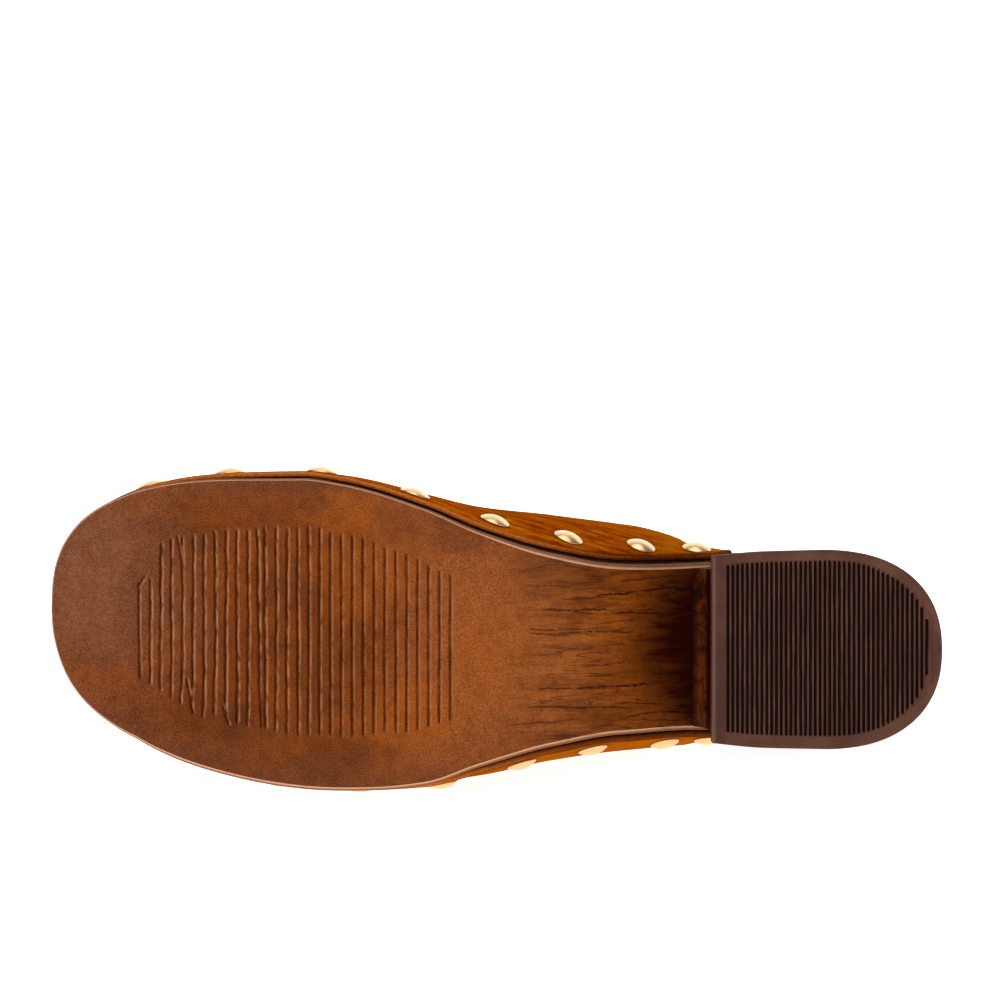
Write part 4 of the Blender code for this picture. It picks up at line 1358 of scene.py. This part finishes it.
HIDE_AMBER = (0.42, 0.082, 0.0008)
HIDE_DEEP = (0.20, 0.026, 0.0006)
HIDE_PULL_UP_AND_HIGHLIGHT = (0.62, 0.19, 0.004)
CUT_BROWN = (0.52, 0.13, 0.017)
CUT_FIBRE = (0.74, 0.225, 0.042)
CUT_SHADED = (0.32, 0.26, 0.3)
TUCKED_SHADE = (0.08, 0.05, 0.05)
VAMP_BROWN = (0.76, 0.7, 0.8)
OUTER_SIDE_LIGHT_TINT = (0.36, 0.125, 0.006)
LOW_EDGE_SHADE = (0.12, 0.05, 0.2)
LINING_TAN = (0.50, 0.32, 0.17)
HIDE_PORE = (0.6, 0.5, 0.4)
HIDE_FIBRE = (0.5, 0.42, 0.4)
STUD_SHADE = (0.3, 0.22, 0.2)
REAR_HIGHLIGHT_X = (166.0, 186.0)
OUTER_SIDE_LIGHT_Y = (12.0, 26.0)
LOW_EDGE_SHADE_X = (110.0, 165.0)
CUT_SHADED_X = (118.0, 172.0)

hide = Finish("pull_up_leather", HIDE_DEEP)
x_wire = hide.axis(0)
y_wire = hide.axis(1)
polish = hide.mark("polish")
streak = hide.noise((0.03, 0.3, 0.34), 6.0, 0.66, 0.4)
patch = hide.noise((0.02, 0.03, 0.03), 3.0)
pores = hide.cells((1.5, 1.5, 1.5))
fibre = hide.noise((1.4, 1.4, 1.4), 4.0, 0.75)
tone = patch + (streak - patch) * (0.85 - polish * 0.6)
# Paler amber along the pull-up leather's streaks, with a painted highlight over the bend and toward the
# rear.
glow = (tone.ease(0.52, 0.66) * 0.7).most(hide.mark("bend") * 0.35).most(x_wire.ease(*REAR_HIGHLIGHT_X) * 0.4)
rearward = x_wire + y_wire * 0.35
hide.coat(tone.ease(0.36, 0.54).most(polish * 0.5), HIDE_AMBER)
hide.coat(glow, HIDE_PULL_UP_AND_HIGHLIGHT)
hide.stain(polish * 0.7, VAMP_BROWN)
# Painted light: the outer side, apart from the polished vamp, is tinted gold.
hide.coat(y_wire.ease(*OUTER_SIDE_LIGHT_Y) * (1.0 - polish) * 0.6, OUTER_SIDE_LIGHT_TINT)
hide.stain(pores.ease(0.5, 0.1) * 0.3, HIDE_PORE)
hide.stain(fibre.ease(0.52, 0.34) * 0.6, HIDE_FIBRE)
# Painted shade along the low edge by the gap, stronger toward the rear.
hide.stain(hide.mark("low") * (rearward.ease(*LOW_EDGE_SHADE_X) * 0.7 + 0.08), LOW_EDGE_SHADE)
hide.stain(hide.mark("pressed") * 0.45, STUD_SHADE)
cut_color = hide.mix(fibre.ease(0.42, 0.66), CUT_BROWN, CUT_FIBRE)
cut_color = hide.mix(rearward.ease(*CUT_SHADED_X), cut_color, CUT_SHADED, "MULTIPLY")
# Painted shade on the part of the cut edge tucked toward the gap.
cut_color = hide.mix(hide.mark("tucked"), cut_color, TUCKED_SHADE, "MULTIPLY")
hide.coat(hide.mark("cut").ease(0.2, 0.7), cut_color)
hide.coat(hide.mark("inside").ease(0.4, 0.8), LINING_TAN)
hide.shade(Roughness=fibre * 0.2 + 0.4, Specular_IOR_Level=0.0,
           Coat_Weight=polish * 0.4, Coat_Roughness=0.28,
           Normal=hide.bump((pores, 0.06), (streak, 0.25), (fibre, 0.05)))
add_piece("upper_hide", shell, shell_faces, shell_marks, hide, ["upper"], 60.0)


# Studs.  Domed brass nail heads with a thin rolled rim, plated pale gold and polished, driven through
# the upper into the side of the platform.
STUD_RADIUS = 4.5
STUD_DOME = 1.5
STUD_SKIRT = 0.4
STUD_SINK = 0.15
STUD_ROLL = 0.05
STUD_ROLL_DROP = 0.18
RIM_SEAT = [0.4, 1.0, 1.0]
STUD_SEGMENTS = 48
DOME_RINGS = 12
STUD_GOLD = (0.92, 0.61, 0.33)
STUD_GOLD_DEEP = (0.87, 0.54, 0.26)
STUD_SEAT_SHADE = (0.10, 0.05, 0.02)

# Profile of a head, from its top: part of a ball, a rolled rim and a flat seat.
dome_ball = (STUD_RADIUS ** 2 + STUD_DOME ** 2) / (2.0 * STUD_DOME)
dome_turn = np.linspace(0.0, math.asin(STUD_RADIUS / dome_ball), DOME_RINGS)
dome_height = STUD_SKIRT + STUD_DOME - dome_ball * (1.0 - np.cos(dome_turn))
rim_radius = [STUD_RADIUS + STUD_ROLL, STUD_RADIUS - STUD_ROLL, 0.0]
stud_radius = np.concatenate([dome_ball * np.sin(dome_turn), rim_radius])
stud_height = np.concatenate([dome_height, [STUD_SKIRT - STUD_ROLL_DROP, 0.0, 0.0]]) - STUD_SINK
around = np.linspace(0.0, 2.0 * math.pi, STUD_SEGMENTS, endpoint=False)
stud_grids = []
for seat, normal in seats.values():
    side_way = unit(np.cross(normal, np.array([0.0, 0.0, 1.0])))
    spokes = np.cos(around)[:, None] * side_way + np.sin(around)[:, None] * np.cross(normal, side_way)
    stud_grids.append(seat + stud_radius[:, None, None] * spokes + stud_height[:, None, None] * normal)
one_stud = np.array(quads(stud_grids[0]))
first_corners = len(stud_radius) * STUD_SEGMENTS * np.arange(len(seats))
stud_faces = (one_stud + first_corners[:, None, None]).reshape(-1, 4).tolist()
seat_mark = np.repeat(np.concatenate([np.zeros(DOME_RINGS), RIM_SEAT]), STUD_SEGMENTS)
stud_marks = {"seat": np.tile(seat_mark, len(seats))}

gold = Finish("stud_gold", STUD_GOLD_DEEP)
scuff = gold.noise((2.5, 2.5, 2.5), 3.0, 0.7)
gold.coat(gold.noise((0.4, 0.4, 0.4), 3.0).ease(0.35, 0.65), STUD_GOLD)
# Painted shade under the rolled rim and on the seat.
gold.coat(gold.mark("seat").ease(0.3, 0.9), STUD_SEAT_SHADE)
gold.shade(Metallic=1.0, Roughness=scuff * 0.12 + 0.26, Normal=gold.bump((scuff, 0.012)))
add_piece("studs", stud_grids, stud_faces, stud_marks, gold, list(seats), 60.0)
